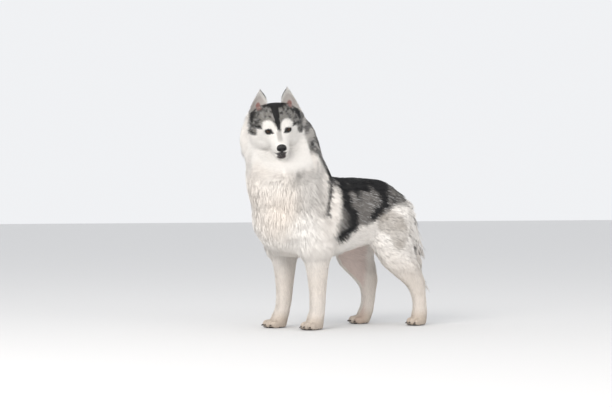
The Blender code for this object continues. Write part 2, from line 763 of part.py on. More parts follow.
def part_off(body, name, cutter, grown):
    """Take what lies inside the cutter as a node of its own, with a thin gap round it."""
    piece = body.copy()
    piece.data = body.data.copy()
    piece.name = name
    bpy.context.scene.collection.objects.link(piece)
    boolean(piece, cutter, "INTERSECT")
    keep_largest(piece)
    boolean(body, grown, "DIFFERENCE")
    bpy.data.objects.remove(cutter, do_unlink=True)
    bpy.data.objects.remove(grown, do_unlink=True)
    return piece


def region(name):
    """The outline in (y, z), the range of x and the frame of each cut."""
    head_tilt = HEAD @ Matrix.Translation((0, 3.0, -8.4)) @ Matrix.Rotation(math.radians(5), 4, "X")
    ruff_top = Matrix.Translation((0, -27.0, 51.0)) @ Matrix.Rotation(math.radians(24), 4, "X")
    rump = [(-2.0, 21.0), (30.0, 21.0), (30.0, 40.0), (24.5, 43.0), (1.5, 31.0), (-2.0, 26.0)]
    far_rump = [(y - HIND_STRIDE * (1 - z / HIP_HEIGHT), z) for y, z in rump]
    return {
        "tail": ([(21.9, 42.1), (23.8, 14.0), (42.0, 14.0), (42.0, 52.2)], -6.2, 6.2, None),
        "nose": ([(-20.0, -4.15), (NOSE_BACK, -4.15), (NOSE_BACK, 3.0), (-20.0, 3.0)], -5.0, 5.0, HEAD),
        "head": ([(-30.0, 0.0), (30.0, 0.0), (30.0, 30.0), (-30.0, 30.0)], -30.0, 30.0, head_tilt),
        "neck": ([(-30.0, 0.0), (30.0, 0.0), (30.0, 60.0), (-30.0, 60.0)], -30.0, 30.0, ruff_top),
        "left_fore_paw": ([(-40.0, -1.0), (-10.0, -1.0), (-10.0, 6.3), (-40.0, 6.3)], 2.0, 18.0, None),
        "right_fore_paw": ([(-46.0, -1.0), (-10.0, -1.0), (-10.0, 6.3), (-46.0, 6.3)], -18.0, -2.0, None),
        "left_hind_paw": ([(10.0, -1.0), (34.0, -1.0), (34.0, 4.6), (10.0, 4.6)], 2.0, 18.0, None),
        "right_hind_paw": ([(-4.0, -1.0), (20.0, -1.0), (20.0, 4.6), (-4.0, 4.6)], -18.0, -2.0, None),
        "left_foreleg": ([(-36.0, -1.0), (-11.0, -1.0), (-11.0, 27.8), (-36.0, 27.8)], 3.6, 19.0, None),
        "right_foreleg": ([(-42.0, -1.0), (-13.0, -1.0), (-13.0, 27.8), (-42.0, 27.8)], -19.0, -3.6, None),
        "left_hind_leg": ([(0.0, -1.0), (34.0, -1.0), (34.0, 22.0), (0.0, 22.0)], 3.2, 20.0, None),
        "right_hind_leg": ([(-11.0, -1.0), (26.0, -1.0), (26.0, 22.0), (-11.0, 22.0)], -20.0, -3.2, None),
        "left_thigh": (rump, 3.2, 20.0, None),
        "right_thigh": (far_rump, -20.0, -3.2, None),
    }[name]


CUTS = (
    "tail", "nose", "head", "neck", "left_fore_paw", "right_fore_paw", "left_hind_paw", "right_hind_paw",
    "left_foreleg", "right_foreleg", "left_hind_leg", "right_hind_leg", "left_thigh", "right_thigh",
)


def region_tests():
    """Each region with its outline turned anticlockwise, ready for node_at."""
    tests = []
    for name in CUTS:
        outline, low, high, matrix = region(name)
        area = sum(a[0] * b[1] - b[0] * a[1] for a, b in zip(outline, outline[1:] + outline[:1]))
        turned = outline if area > 0 else outline[::-1]
        inverse = matrix.inverted() if matrix else Matrix.Identity(4)
        tests.append((name, (turned, low, high, inverse)))
    return tests


REGION_TESTS = region_tests()


def ear_rings(side, wall):
    """Crescent sections from the root on the skull to the tip, opening forward."""
    inner, outer, tip = (Vector(side_of(place, side)) for place in (EAR_INNER, EAR_OUTER, EAR_TIP))
    middle, across = (inner + outer) / 2, (outer - inner) / 2
    rings = []
    for t in (0.0, 0.16, 0.36, 0.56, 0.75, 0.9, 1.0):
        centre = middle.lerp(tip, t) + Vector((0, 0.5, 0)) * math.sin(math.pi * t)
        breadth = (1 - t) ** 0.78 * (1 + 0.2 * math.sin(math.pi * t)) if t < 1 else 0.0
        half = max(0.28, across.length * breadth)
        cup = 2.6 * breadth * (1 - 0.25 * t)
        thick = wall * (0.55 + 0.45 * breadth)
        ring = []
        for k in range(13):
            ring.append(ear_point(centre, across.normalized(), half, cup, thick, 1 - k / 6, 1))
        for k in range(13):
            ring.append(ear_point(centre, across.normalized(), half, cup, thick, k / 6 - 1, -1))
        rings.append(ring)
    return rings


def ear_point(centre, across, half, cup, thick, place, face):
    """A point of an ear's crescent: place runs across from -1 to 1, face is back or front."""
    angle = place * math.pi / 2
    back = cup * math.cos(angle) - 0.35 * cup
    edge = max(0.12, math.sqrt(max(0.0, 1 - place**2))) * thick / 2
    return centre + across * half * math.sin(angle) + Vector((0, back + face * edge, 0))


def ear(side):
    tag = "left" if side > 0 else "right"
    return loft(f"{tag}_ear", ear_rings(side, EAR_THICKNESS), HEAD)


def ear_root(body, side):
    """Flatten the skull under the ear, so that the ear stands on it face to face."""
    inner, outer = (Vector(side_of(place, side)) for place in (EAR_INNER, EAR_OUTER))
    across = (outer - inner).normalized()
    slope = math.atan2(across.z, across.x * side) * side
    frame = HEAD @ Matrix.Translation((inner + outer) / 2) @ Matrix.Rotation(-slope, 4, "Y")
    half = (outer - inner).length / 2 + 0.4
    outline = [(-2.6, -GAP / CM), (2.9, -GAP / CM), (2.9, 9.0), (-2.6, 9.0)]
    cutter = prism("ear_flat", outline, -half, half, frame)
    boolean(body, cutter, "DIFFERENCE")
    bpy.data.objects.remove(cutter, do_unlink=True)


def eye(head, side):
    """The eyeball, and in the head its socket and the almond opening between the lids."""
    centre = Vector(side_of(EYE_AT, side))
    tag = "left" if side > 0 else "right"
    socket = ellipsoid("socket", centre, (EYE_RADIUS + GAP / CM,) * 3, matrix=HEAD, segments=16)
    wide, high = EYE_OPENING
    slant = Matrix.Rotation(side * 0.26, 4, "Z") @ Matrix.Rotation(side * -0.2, 4, "Y")
    rings = []
    for reach, scale in ((0.35, 0.30), (3.2, 2.9)):
        ring = []
        for k in range(20):
            angle = 2 * math.pi * k / 20
            x, z = math.cos(angle), math.sin(angle)
            ring.append(Vector((x * wide * scale, -reach, z * high * scale * (1 - 0.35 * x * x))))
        rings.append(ring)
    opening = loft("opening", rings, HEAD @ Matrix.Translation(centre) @ slant)
    for cutter in (socket, opening):
        boolean(head, cutter, "DIFFERENCE")
        bpy.data.objects.remove(cutter, do_unlink=True)
    return ellipsoid(f"{tag}_eye", centre, (EYE_RADIUS,) * 3, matrix=HEAD, segments=16)


def mouth_slit(head):
    """The line between the lips, a thin slit round the muzzle."""
    left = smooth_rows(MOUTH, 3)
    right = [row * (-1, 1, 1) for row in left[:0:-1]]
    path = [Vector(row) for row in (*right, *left)]
    rings = []
    for i, point in enumerate(path):
        along = (path[min(i + 1, len(path) - 1)] - path[max(i - 1, 0)]).normalized()
        inward = Z_AXIS.cross(along).normalized()
        depth, high = MOUTH_SLIT if 0 < i < len(path) - 1 else MOUTH_CORNER
        ring = []
        for out, up in ((0.9, 0.9), (-1, 0), (0.9, -0.9)):
            ring.append(point + inward * (-out * depth) + Vector((0, 0, up * high)))
        rings.append(ring)
    cutter = loft("mouth", rings, HEAD)
    boolean(head, cutter, "DIFFERENCE")
    bpy.data.objects.remove(cutter, do_unlink=True)


def nostrils(nose):
    for side in (-1, 1):
        for (x, y, z), radii, lean in (NOSTRIL, NOSE_SLIT):
            place = (side * x, NOSE_AT[1] + y, NOSE_AT[2] + z)
            cutter = ellipsoid("hole", place, radii, (0, side * lean, 0), HEAD, 12)
            boolean(nose, cutter, "DIFFERENCE")
            bpy.data.objects.remove(cutter, do_unlink=True)


def claw_rings(grow):
    """A hooked cone along -Y, from its root inside the toe to its point."""
    rings = []
    for k, (y, z, r) in enumerate(CLAW):
        centre = Vector((0, y + (grow if k == 0 else 0), z))
        rings.append(section(centre, X_AXIS, Z_AXIS, r + grow, r + grow, r + grow, 2.0, 6))
    return rings


def claws(paw_piece, name):
    """Four claws, each in a socket a thin gap wider than itself."""
    for k, (x, y, z, turn) in enumerate(claw_places(name)):
        frame = Matrix.Translation((x, y, z)) @ Matrix.Rotation(math.radians(turn), 4, "Z")
        cutter = loft("socket", claw_rings(GAP / CM), frame)
        boolean(paw_piece, cutter, "DIFFERENCE")
        bpy.data.objects.remove(cutter, do_unlink=True)
        loft(f"{name}_claw_{k + 1}", claw_rings(0.0), frame)
    keep_largest(paw_piece)


def main():
    clear_scene()
    body = fused_flesh()
    rng = np.random.default_rng(LOCK_SEED)
    outer_tree = surface_tree(body)
    roots = scattered_roots(body, rng)
    core_of(body)
    union_with(body, grow_locks(outer_tree, roots, rng))
    keep_largest(body)
    settle(body)
    floor = prism("floor", [(-60.0, -5.0), (60.0, -5.0), (60.0, 0.0), (-60.0, 0.0)], -30.0, 30.0)
    boolean(body, floor, "DIFFERENCE")
    bpy.data.objects.remove(floor, do_unlink=True)
    for side in (1, -1):
        ear_root(body, side)
    pieces = {}
    for name in CUTS:
        outline, low, high, matrix = region(name)
        cutter = prism("cutter", outline, low, high, matrix)
        grown = prism("grown", outline, low, high, matrix, GAP / CM)
        pieces[name] = part_off(body, name, cutter, grown)
    body.name = "torso"
    keep_largest(body)
    for side in (1, -1):
        ear(side)
        eye(pieces["head"], side)
    mouth_slit(pieces["head"])
    keep_largest(pieces["head"])
    nostrils(pieces["nose"])
    keep_largest(pieces["nose"])
    for name in PAWS:
        claws(pieces[name], name)
    finish()


def finish():
    """Materials, smooth shading, and the origin under the middle of the whole."""
    parts = [obj for obj in bpy.context.scene.objects if obj.type == "MESH"]
    low = np.min([points_of(obj).min(axis=0) for obj in parts], axis=0)
    high = np.max([points_of(obj).max(axis=0) for obj in parts], axis=0)
    shift = Matrix.Translation((-(low[0] + high[0]) / 2, -(low[1] + high[1]) / 2, -low[2]))
    home = bpy.data.collections.new("siberian_husky")
    bpy.context.scene.collection.children.link(home)
    made = {name: material(name, *look) for name, look in LOOKS.items()}
    for obj in parts:
        obj.data.transform(shift)
        home.objects.link(obj)
        bpy.context.scene.collection.objects.unlink(obj)
        obj.data.materials.clear()
        obj.data.materials.append(made[look_of(obj.name)])
        obj.data.shade_smooth()
        obj.data.name = obj.name


def look_of(name):
    if name.endswith("_eye"):
        return "eye"
    if "claw" in name:
        return "claw"
    return {"nose": "nose_skin", "torso": "dark_coat"}.get(name, "pale_coat")


def material(name, colour, roughness):
    made = bpy.data.materials.new(name)
    made.use_nodes = True
    surface = made.node_tree.nodes["Principled BSDF"]
    surface.inputs["Base Color"].default_value = (*colour, 1)
    surface.inputs["Roughness"].default_value = roughness
    return made


main()
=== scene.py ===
"""Siberian husky, standing with its head turned to its left: the looks of the life-size still model.

The frame is in metres, +Z up, and the dog faces -Y. The skin is modelled in the dog's own
centimetres, as the solids are, and set into the frame by the place of the eyes.
"""

import itertools
import math

import bmesh
import bpy
import numpy as np
from mathutils import Matrix, Vector
from mathutils.bvhtree import BVHTree


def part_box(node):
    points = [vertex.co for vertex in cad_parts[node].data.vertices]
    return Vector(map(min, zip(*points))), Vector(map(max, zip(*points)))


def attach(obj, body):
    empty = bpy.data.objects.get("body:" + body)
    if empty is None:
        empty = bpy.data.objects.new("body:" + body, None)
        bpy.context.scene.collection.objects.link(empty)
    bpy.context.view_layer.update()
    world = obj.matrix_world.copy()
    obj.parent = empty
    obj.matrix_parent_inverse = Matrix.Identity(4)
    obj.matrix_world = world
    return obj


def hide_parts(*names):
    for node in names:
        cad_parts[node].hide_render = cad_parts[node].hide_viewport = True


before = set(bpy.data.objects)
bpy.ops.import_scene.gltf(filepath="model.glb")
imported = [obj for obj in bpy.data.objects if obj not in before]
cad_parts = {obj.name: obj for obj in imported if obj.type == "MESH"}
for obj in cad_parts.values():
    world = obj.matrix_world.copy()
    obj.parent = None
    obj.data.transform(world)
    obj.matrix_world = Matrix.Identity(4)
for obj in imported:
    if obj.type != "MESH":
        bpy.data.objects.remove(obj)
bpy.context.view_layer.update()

CM = 0.01
SEED = 7

# The head, as in the solids: where it sits, and how it turns, nods and leans.
HEAD_AT = (2.4, -34.5, 74.9)
HEAD_YAW, HEAD_PITCH, HEAD_ROLL = math.radians(69.5), math.radians(23.0), math.radians(6.0)
EYE_AT, EYE_RADIUS = (3.65, -5.2, 1.15), 1.12
LID_THICKNESS = 0.24
EYE_OPENING, BARE_ROUND_EYE = (1.08, 0.80), (1.25, 0.75)
RIM_ACROSS, RIM_OUT = 0.17, 0.13
EAR_INNER, EAR_OUTER, EAR_TIP = (2.4, 2.6, 8.2), (10.5, 3.8, 3.2), (5.2, 2.4, 14.5)
EAR_THICKNESS, EAR_RIM = 0.5, 0.25

FORE_STRIDE, HIND_STRIDE = 6.8, 14.5
SHOULDER_HEIGHT, HIP_HEIGHT = 62.0, 54.0

SKIN_VOXEL, NOSE_VOXEL = 0.22, 0.07
BODY_TRIANGLES = 60000
TUFTS = 140000
TUFTS_IN_PIECE = 19000
UV_PATCH = 0.003

# The skin is drawn in by this share of the coat's depth.
DRAWN_IN = 0.9

# A tuft's thickness by its width, the height of its middle and tip by the coat's depth, and how
# far its way strays. Tufts within this share of their length bunch together.
TUFT_THICKNESS = 0.45
MIDDLE_HEIGHT, TIP_HEIGHT = 0.70, 0.86
STRAY = 0.16
BUNCH_SHARE = 0.42
CELLS_ACROSS = 4096

# Large numbers that mix a cell's place and a seed into one value of the noise.
CELL_MIXERS = (374761393, 668265263, 2147483647)
SEED_MIXER, LAST_MIXER = 974711, 1274126177

# A tuft's side faces take this share of their tilt, and its root, middle and tip these factors of painted
# shade and light: the root darker as painted shade deep in the coat, the tip a little lighter as painted
# light.
SIDE_SHADE = 0.4
TUFT_PAINTED_SHADING = (0.94, 0.94, 0.94, 1.0, 1.0, 1.0, 1.03)
TUFT_COLOUR_AT = 0.7

# A tuft's points are three round its root, three round its middle and its tip.
TUFT_FACES = [
    (0, 2, 1), (0, 1, 4), (0, 4, 3), (1, 2, 5), (1, 5, 4),
    (2, 0, 3), (2, 3, 5), (3, 4, 6), (4, 5, 6), (5, 3, 6),
]
TUFT_SPREAD = [(-0.5, -0.5), (0, -0.5), (0.5, -0.5), (-0.5, 0), (0, 0), (0.5, 0), (0, 0.5)]
# The skin's painted shade: the coat's colours on the skin are darkened by this factor, as shade beneath the
# tufts.
SKIN_PAINTED_SHADE = 0.95
SKIN_RELIEF, NOSE_RELIEF = 0.04, 0.06

# Trunk sections along Y: y, middle height, half-width, reach up, reach down.
TRUNK = [
    (-41.6, 42.5, 2.5, 4.0, 4.0),
    (-40.2, 42.5, 7.4, 9.4, 8.2),
    (-36.6, 42.5, 10.9, 13.4, 11.8),
    (-31.0, 42.2, 12.8, 15.2, 13.6),
    (-24.0, 41.8, 14.0, 15.9, 14.4),
    (-15.0, 41.6, 14.5, 15.7, 14.3),
    (-5.0, 42.4, 14.2, 14.7, 14.3),
    (4.0, 43.8, 13.4, 13.2, 13.2),
    (11.0, 45.0, 12.4, 11.4, 11.2),
    (16.0, 45.0, 11.2, 8.9, 9.0),
    (19.4, 44.4, 9.2, 6.3, 7.6),
    (21.6, 43.6, 6.2, 3.6, 5.2),
    (22.4, 43.2, 2.6, 1.6, 2.4),
]

# Neck sections going up: x, y, z, turn in degrees, half-width, reach forward, reach back.
NECK = [
    (0.0, -22.0, 38.0, 0, 12.0, 15.8, 12.0),
    (0.0, -24.6, 45.5, 0, 14.2, 17.6, 16.0),
    (0.0, -27.0, 52.5, 4, 15.2, 17.2, 16.8),
    (0.0, -29.0, 59.5, 22, 16.0, 14.2, 16.0),
    (-0.4, -30.9, 66.0, 48, 15.4, 7.4, 13.6),
    (-0.6, -31.9, 71.5, 62, 14.9, 3.4, 12.2),
    (-0.4, -32.3, 76.5, 66, 13.2, 1.6, 10.2),
    (0.6, -32.6, 80.6, 66, 9.0, 0.8, 7.2),
]

# Leg sections going down, left side: z, front y, rear y, x, half-width.
FORELEG = [
    (46.0, -31.0, -15.0, 7.0, 5.0),
    (40.0, -32.5, -13.5, 8.6, 5.9),
    (34.0, -31.0, -13.8, 9.4, 5.6),
    (30.0, -28.8, -14.6, 9.3, 5.0),
    (27.0, -27.0, -15.4, 9.0, 4.4),
    (23.0, -25.2, -16.0, 8.6, 3.75),
    (18.0, -24.1, -16.4, 8.2, 3.25),
    (13.0, -23.3, -16.7, 7.9, 2.95),
    (10.0, -23.2, -16.8, 7.8, 2.95),
    (7.0, -23.3, -17.1, 7.8, 2.8),
    (4.5, -24.2, -17.6, 7.85, 3.0),
    (2.2, -24.8, -17.9, 7.9, 3.1),
    (0.2, -24.4, -18.2, 7.9, 2.8),
]
HINDLEG = [
    (49.0, 5.5, 21.0, 6.2, 4.6),
    (43.0, 3.0, 22.8, 7.6, 5.8),
    (37.0, 2.2, 22.9, 8.5, 5.8),
    (32.0, 2.6, 22.6, 8.9, 5.3),
    (28.0, 4.4, 22.6, 9.1, 4.7),
    (25.0, 6.6, 23.2, 9.2, 4.2),
    (22.0, 9.9, 24.6, 9.2, 3.6),
    (19.5, 13.2, 26.1, 9.2, 3.15),
    (17.2, 16.4, 27.2, 9.2, 2.85),
    (15.0, 19.0, 27.3, 9.1, 2.7),
    (12.5, 20.8, 27.4, 9.1, 2.6),
    (9.0, 22.0, 27.8, 9.0, 2.55),
    (6.0, 22.0, 27.9, 9.0, 2.65),
    (4.0, 21.6, 27.8, 9.0, 2.8),
    (2.0, 21.2, 27.6, 9.0, 2.9),
    (0.2, 21.4, 27.2, 9.0, 2.6),
]

# Tail sections from root to tip: y, z, half-width, half-depth.
TAIL = [
    (17.4, 48.0, 3.0, 2.6),
    (20.8, 46.9, 3.4, 2.9),
    (23.9, 44.2, 3.7, 3.1),
    (26.0, 39.8, 4.0, 3.3),
    (26.9, 34.0, 4.2, 3.6),
    (27.3, 28.0, 4.0, 3.6),
    (28.6, 22.5, 3.4, 3.1),
    (30.6, 18.0, 2.2, 2.0),
    (32.0, 14.8, 0.5, 0.5),
]

# Head sections along the head's own Y: y, middle height, half-width, reach up, reach down.
SKULL = [
    (-13.0, -3.6, 1.7, 1.5, 1.3),
    (-12.2, -3.5, 2.6, 2.2, 1.9),
    (-10.4, -3.3, 3.2, 2.8, 2.3),
    (-8.6, -3.0, 3.5, 3.1, 2.6),
    (-7.2, -2.6, 4.0, 3.6, 3.0),
    (-5.9, -2.0, 5.1, 4.7, 4.2),
    (-4.2, -1.4, 6.6, 6.4, 5.6),
    (-1.8, -0.7, 8.3, 8.3, 6.8),
    (1.6, 0.0, 9.7, 9.0, 7.4),
    (5.0, 0.0, 9.6, 8.5, 7.0),
    (8.0, -0.4, 7.4, 6.6, 5.6),
]
JAW = [
    (-12.3, -6.5, 1.4, 1.0, 1.0),
    (-11.4, -6.6, 2.1, 1.5, 1.6),
    (-9.4, -6.5, 2.7, 2.0, 1.9),
    (-7.0, -6.1, 3.3, 2.6, 2.3),
    (-4.0, -5.4, 4.5, 3.4, 3.2),
    (0.0, -4.4, 6.2, 4.4, 4.2),
]
NOSE_AT, NOSE_RADII = (0.0, -13.25, -2.9), (1.85, 1.25, 1.4)
MOUTH = [(0.0, -13.4, -5.4), (1.6, -12.7, -5.45), (2.6, -10.8, -5.5), (3.2, -8.6, -5.4), (3.9, -6.4, -4.9)]

TOES = [(-0.70, 0.15, 1.35), (-0.25, 0.0, 1.55), (0.25, 0.0, 1.55), (0.70, 0.15, 1.35)]
PAWS = {
    "left_fore_paw": (1, 7.9, -27.6, -17.9, 3.5, 14),
    "right_fore_paw": (-1, 7.9, -27.6 - FORE_STRIDE, -17.9 - FORE_STRIDE, 3.5, -2),
    "left_hind_paw": (1, 9.0, 19.0, 27.6, 3.2, 8),
    "right_hind_paw": (-1, 9.0, 19.0 - HIND_STRIDE, 27.6 - HIND_STRIDE, 3.2, 8),
}
CLAW_ROOT = 0.35
WHISKER_RADIUS = 0.026

# A claw's sections from root to tip: forward, up and radius.
CLAW = [
    (0.5, 0.04, 0.20),
    (0.2, 0.03, 0.235),
    (-0.1, 0.0, 0.245),
    (-0.4, -0.06, 0.21),
    (-0.7, -0.18, 0.15),
    (-0.92, -0.33, 0.075),
    (-1.02, -0.43, 0.02),
]

X_AXIS, Y_AXIS, Z_AXIS = Vector((1, 0, 0)), Vector((0, 1, 0)), Vector((0, 0, 1))
NO_TURN = (0, 0, 0)


def head_matrix():
    """Takes the head's own centimetres to the dog's."""
    turn = Matrix.Rotation(HEAD_YAW, 4, "Z")
    nod = Matrix.Rotation(HEAD_PITCH, 4, "X")
    lean = Matrix.Rotation(-HEAD_ROLL, 4, "Y")
    return Matrix.Translation(HEAD_AT) @ turn @ nod @ lean


HEAD = head_matrix()


def frame_shift():
    """Takes the dog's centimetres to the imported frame, found from the middle of the left eye."""
    low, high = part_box("left_eye")
    return (low + high) / 2 - (HEAD @ Vector(EYE_AT)) * CM


SHIFT = frame_shift()


def eye_place(side):
    """The middle of the left (1) or right (-1) eye, in the head's own centimetres."""
    return Vector((side * EYE_AT[0], EYE_AT[1], EYE_AT[2]))


# The photo's camera, in the dog's centimetres: level, six metres off, to the left of the front.
CAMERA_AZIMUTH, CAMERA_DISTANCE, CAMERA_HEIGHT, CAMERA_ASIDE = math.radians(60.0), 600.0, 46.7, -17.7
CAMERA_RIGHT = Vector((math.cos(CAMERA_AZIMUTH), math.sin(CAMERA_AZIMUTH), 0))
CAMERA_BACK = Vector((math.sin(CAMERA_AZIMUTH), -math.cos(CAMERA_AZIMUTH), 0))
CAMERA_PLACE = CAMERA_BACK * CAMERA_DISTANCE + CAMERA_RIGHT * CAMERA_ASIDE + Vector((0, 0, CAMERA_HEIGHT))
LENS = 92.2


def to_frame(points):
    """The dog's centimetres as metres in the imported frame."""
    return np.asarray(points) * CM + np.array(SHIFT)


def in_head(points):
    """The dog's centimetres in the head's own frame."""
    to_head = np.array(HEAD.inverted())
    return points @ to_head[:3, :3].T + to_head[:3, 3]


def ramp(values, low, high):
    """0 below low, 1 above high, smooth between."""
    t = np.clip((values - low) / (high - low), 0, 1)
    return t * t * (3 - 2 * t)


def noise(points, size, seed):
    """Smooth value noise from 0 to 1 at points, with cells of the given size."""
    cells = points / size
    low = np.floor(cells).astype(np.int64)
    part = cells - low
    part = part * part * (3 - 2 * part)
    total = np.zeros(len(points))
    for corner in range(8):
        step = np.array([corner & 1, corner >> 1 & 1, corner >> 2 & 1])
        at = low + step
        mixed = at @ np.array(CELL_MIXERS) + seed * SEED_MIXER
        mixed = (mixed ^ (mixed >> 13)) * LAST_MIXER
        value = ((mixed ^ (mixed >> 16)) & 0xFFFF) / 65535.0
        weight = np.prod(np.where(step, part, 1 - part), axis=1)
        total += value * weight
    return total


def spot(points, centre, radii):
    """1 at a centre, 0 past its radii, smooth between."""
    apart = np.sqrt((((points - np.array(centre)) / np.array(radii)) ** 2).sum(axis=1))
    return 1 - ramp(apart, 0.75, 1.15)


def band(values, middle, half, soft):
    """1 where a value is within half of the middle, fading over soft."""
    return 1 - ramp(np.abs(values - middle), half, half + soft)


def line_distance(y, z, corners):
    """How far points are from a broken line in the side view, and how far along it they are."""
    nearest, way = np.full(len(y), 1e9), np.zeros(len(y))
    last = len(corners) - 1
    for k, ((y0, z0), (y1, z1)) in enumerate(zip(corners, corners[1:])):
        run = (y1 - y0) ** 2 + (z1 - z0) ** 2
        t = np.clip(((y - y0) * (y1 - y0) + (z - z0) * (z1 - z0)) / run, 0, 1)
        far = np.hypot(y - y0 - t * (y1 - y0), z - z0 - t * (z1 - z0))
        way = np.where(far < nearest, (k + t) / last, way)
        nearest = np.minimum(far, nearest)
    return nearest, way


def lay(colours, colour, share):
    """The colours with another laid over them by a share."""
    share = np.clip(share, 0, 1)[:, None]
    return colours * (1 - share) + np.array(colour) * share


def smooth_rows(rows, steps=3):
    """Rows on a smooth curve through the given ones, so that a few sections make a smooth loft."""
    rows = np.array(rows, float)
    padded = np.vstack([2 * rows[0] - rows[1], rows, 2 * rows[-1] - rows[-2]])
    made = []
    for i in range(1, len(padded) - 2):
        a, b, c, d = padded[i - 1 : i + 3]
        for k in range(steps):
            t = k / steps
            made.append(
                0.5 * (2 * b + (c - a) * t + (2 * a - 5 * b + 4 * c - d) * t**2
                       + (3 * b - a - 3 * c + d) * t**3)
            )
    made.append(rows[-1])
    return np.array(made)


def section(centre, side, front, half_side, reach_front, reach_back, power=2.2, count=28):
    """A rounded, slightly squared ring of points in the plane of side and front."""
    ring = []
    for i in range(count):
        angle = 2 * math.pi * i / count
        c, s = math.cos(angle), math.sin(angle)
        across = half_side * math.copysign(abs(c) ** (2 / power), c)
        along = (reach_front if s > 0 else reach_back) * math.copysign(abs(s) ** (2 / power), s)
        ring.append(Vector(centre) + side * across + front * along)
    return ring


def loft(rings, matrix=None, round_trip=False):
    """A closed body through rings of points, with caps or back to its first ring."""
    bm = bmesh.new()
    layers = [[bm.verts.new(point) for point in ring] for ring in rings]
    count = len(layers[0])
    above = layers[1:] + layers[:1] if round_trip else layers[1:]
    for low, high in zip(layers, above):
        for i in range(count):
            j = (i + 1) % count
            bm.faces.new((low[i], low[j], high[j], high[i]))
    if not round_trip:
        bm.faces.new(layers[0])
        bm.faces.new(layers[-1])
    if matrix is not None:
        bm.transform(matrix)
    return bm


def ellipsoid(centre, radii, turn=NO_TURN, matrix=None, segments=24):
    """A stretched sphere: a muscle, a toe or a fold."""
    bm = bmesh.new()
    bmesh.ops.create_uvsphere(bm, u_segments=segments, v_segments=segments // 2, radius=1)
    place = Matrix.Translation(centre)
    for axis, degrees in zip("XYZ", turn):
        place = place @ Matrix.Rotation(math.radians(degrees), 4, axis)
    place = place @ Matrix.Diagonal((*radii, 1))
    bm.transform(matrix @ place if matrix is not None else place)
    return bm


def stride_of(z, stride, pivot):
    """How far ahead a striding leg is at a height."""
    return stride * max(0.0, 1 - z / pivot)


def leg(rows, side, stride, pivot):
    """A leg from its sections, leant by its stride."""
    rings = []
    for z, front, rear, x, half in smooth_rows(rows):
        centre = (side * x, (front + rear) / 2 - stride_of(z, stride, pivot), z)
        reach = (rear - front) / 2
        rings.append(section(centre, X_AXIS, -Y_AXIS, half, reach, reach, 2.1, 24))
    return loft(rings)


def tail_rings():
    """The tail's sections, square to its course."""
    rows = smooth_rows(TAIL, 4)
    rings = []
    for i, (y, z, half, depth) in enumerate(rows):
        ahead, behind = rows[min(i + 1, len(rows) - 1)], rows[max(i - 1, 0)]
        along = Vector((0, ahead[0] - behind[0], ahead[1] - behind[1])).normalized()
        rings.append(section((0, y, z), X_AXIS, X_AXIS.cross(along), half, depth, depth, 2.0, 20))
    return rings


def paw_spin(side, x, front, rear, half, turn):
    """A paw's turn about its heel."""
    heel = Vector((side * x, rear - 0.42 * (rear - front), 0))
    turned = Matrix.Rotation(math.radians(turn) * side, 4, "Z")
    return Matrix.Translation(heel) @ turned @ Matrix.Translation(-heel)


def paw(name):
    """Four toes with knuckles round a pad."""
    side, x, front, rear, half, turn = PAWS[name]
    length = rear - front
    spin = paw_spin(*PAWS[name])
    pad = (side * x, rear - 0.40 * length, 1.7)
    pieces = [ellipsoid(pad, (half * 0.95, length * 0.42, 2.0), matrix=spin)]
    reach = length * 0.25
    for offset, back, height in TOES:
        toe = (side * x + offset * half, front + reach + back * length, height)
        pieces.append(ellipsoid(toe, (half * 0.275, reach, height + 0.2), (-8, 0, 6 * offset), spin))
        knuckle = (toe[0] - 0.1 * offset, front + reach * 1.75 + back * length, height + 0.8)
        pieces.append(ellipsoid(knuckle, (half * 0.26, reach * 0.75, 1.2), matrix=spin))
    return pieces


def claw_places(name):
    """Where a paw's claws grow, and how each is turned in degrees."""
    side, x, front, rear, half, turn = PAWS[name]
    spin = paw_spin(*PAWS[name])
    places = []
    for offset, back, height in TOES:
        root = Vector((side * x + offset * half, front + back * (rear - front) + CLAW_ROOT, height - 0.2))
        places.append((*(spin @ root), turn * side + 6 * offset))
    return places


def head_flesh():
    """Skull, jaw, cheeks, brows and lips."""
    pieces = []
    for rows in (SKULL, JAW):
        rings = [
            section((0, y, z), X_AXIS, Z_AXIS, half, up, down, 2.2, 32)
            for y, z, half, up, down in smooth_rows(rows)
        ]
        pieces.append(loft(rings, HEAD))
    for side in (-1, 1):
        shapes = [
            ((side * 6.3, 0.8, -3.4), (4.4, 4.6, 5.2), (0, side * 12, side * -20)),
            ((side * 4.6, -1.6, -4.2), (3.6, 5.0, 3.5), (0, 0, side * -30)),
            ((side * 7.7, 4.6, -1.4), (4.5, 3.6, 6.8), (0, side * 8, side * -24)),
            ((side * 3.0, -4.9, 2.3), (1.9, 1.1, 0.8), (0, side * -20, side * 14)),
            ((side * 6.3, 3.4, 4.4), (4.9, 2.7, 2.2), (0, side * 30, 0)),
            ((side * 5.6, -1.9, -1.6), (2.4, 3.2, 2.8), (0, 0, side * -24)),
            ((side * 1.9, -9.7, -4.3), (1.5, 3.3, 1.35), (4, 0, side * -6)),
            ((side * 0.95, -12.2, -4.6), (1.1, 1.15, 0.9), (0, 0, 0)),
        ]
        pieces += [ellipsoid(centre, radii, turn, HEAD) for centre, radii, turn in shapes]
    pieces.append(ellipsoid((0, -9.2, -1.4), (1.5, 3.8, 1.1), (10, 0, 0), HEAD))
    return pieces


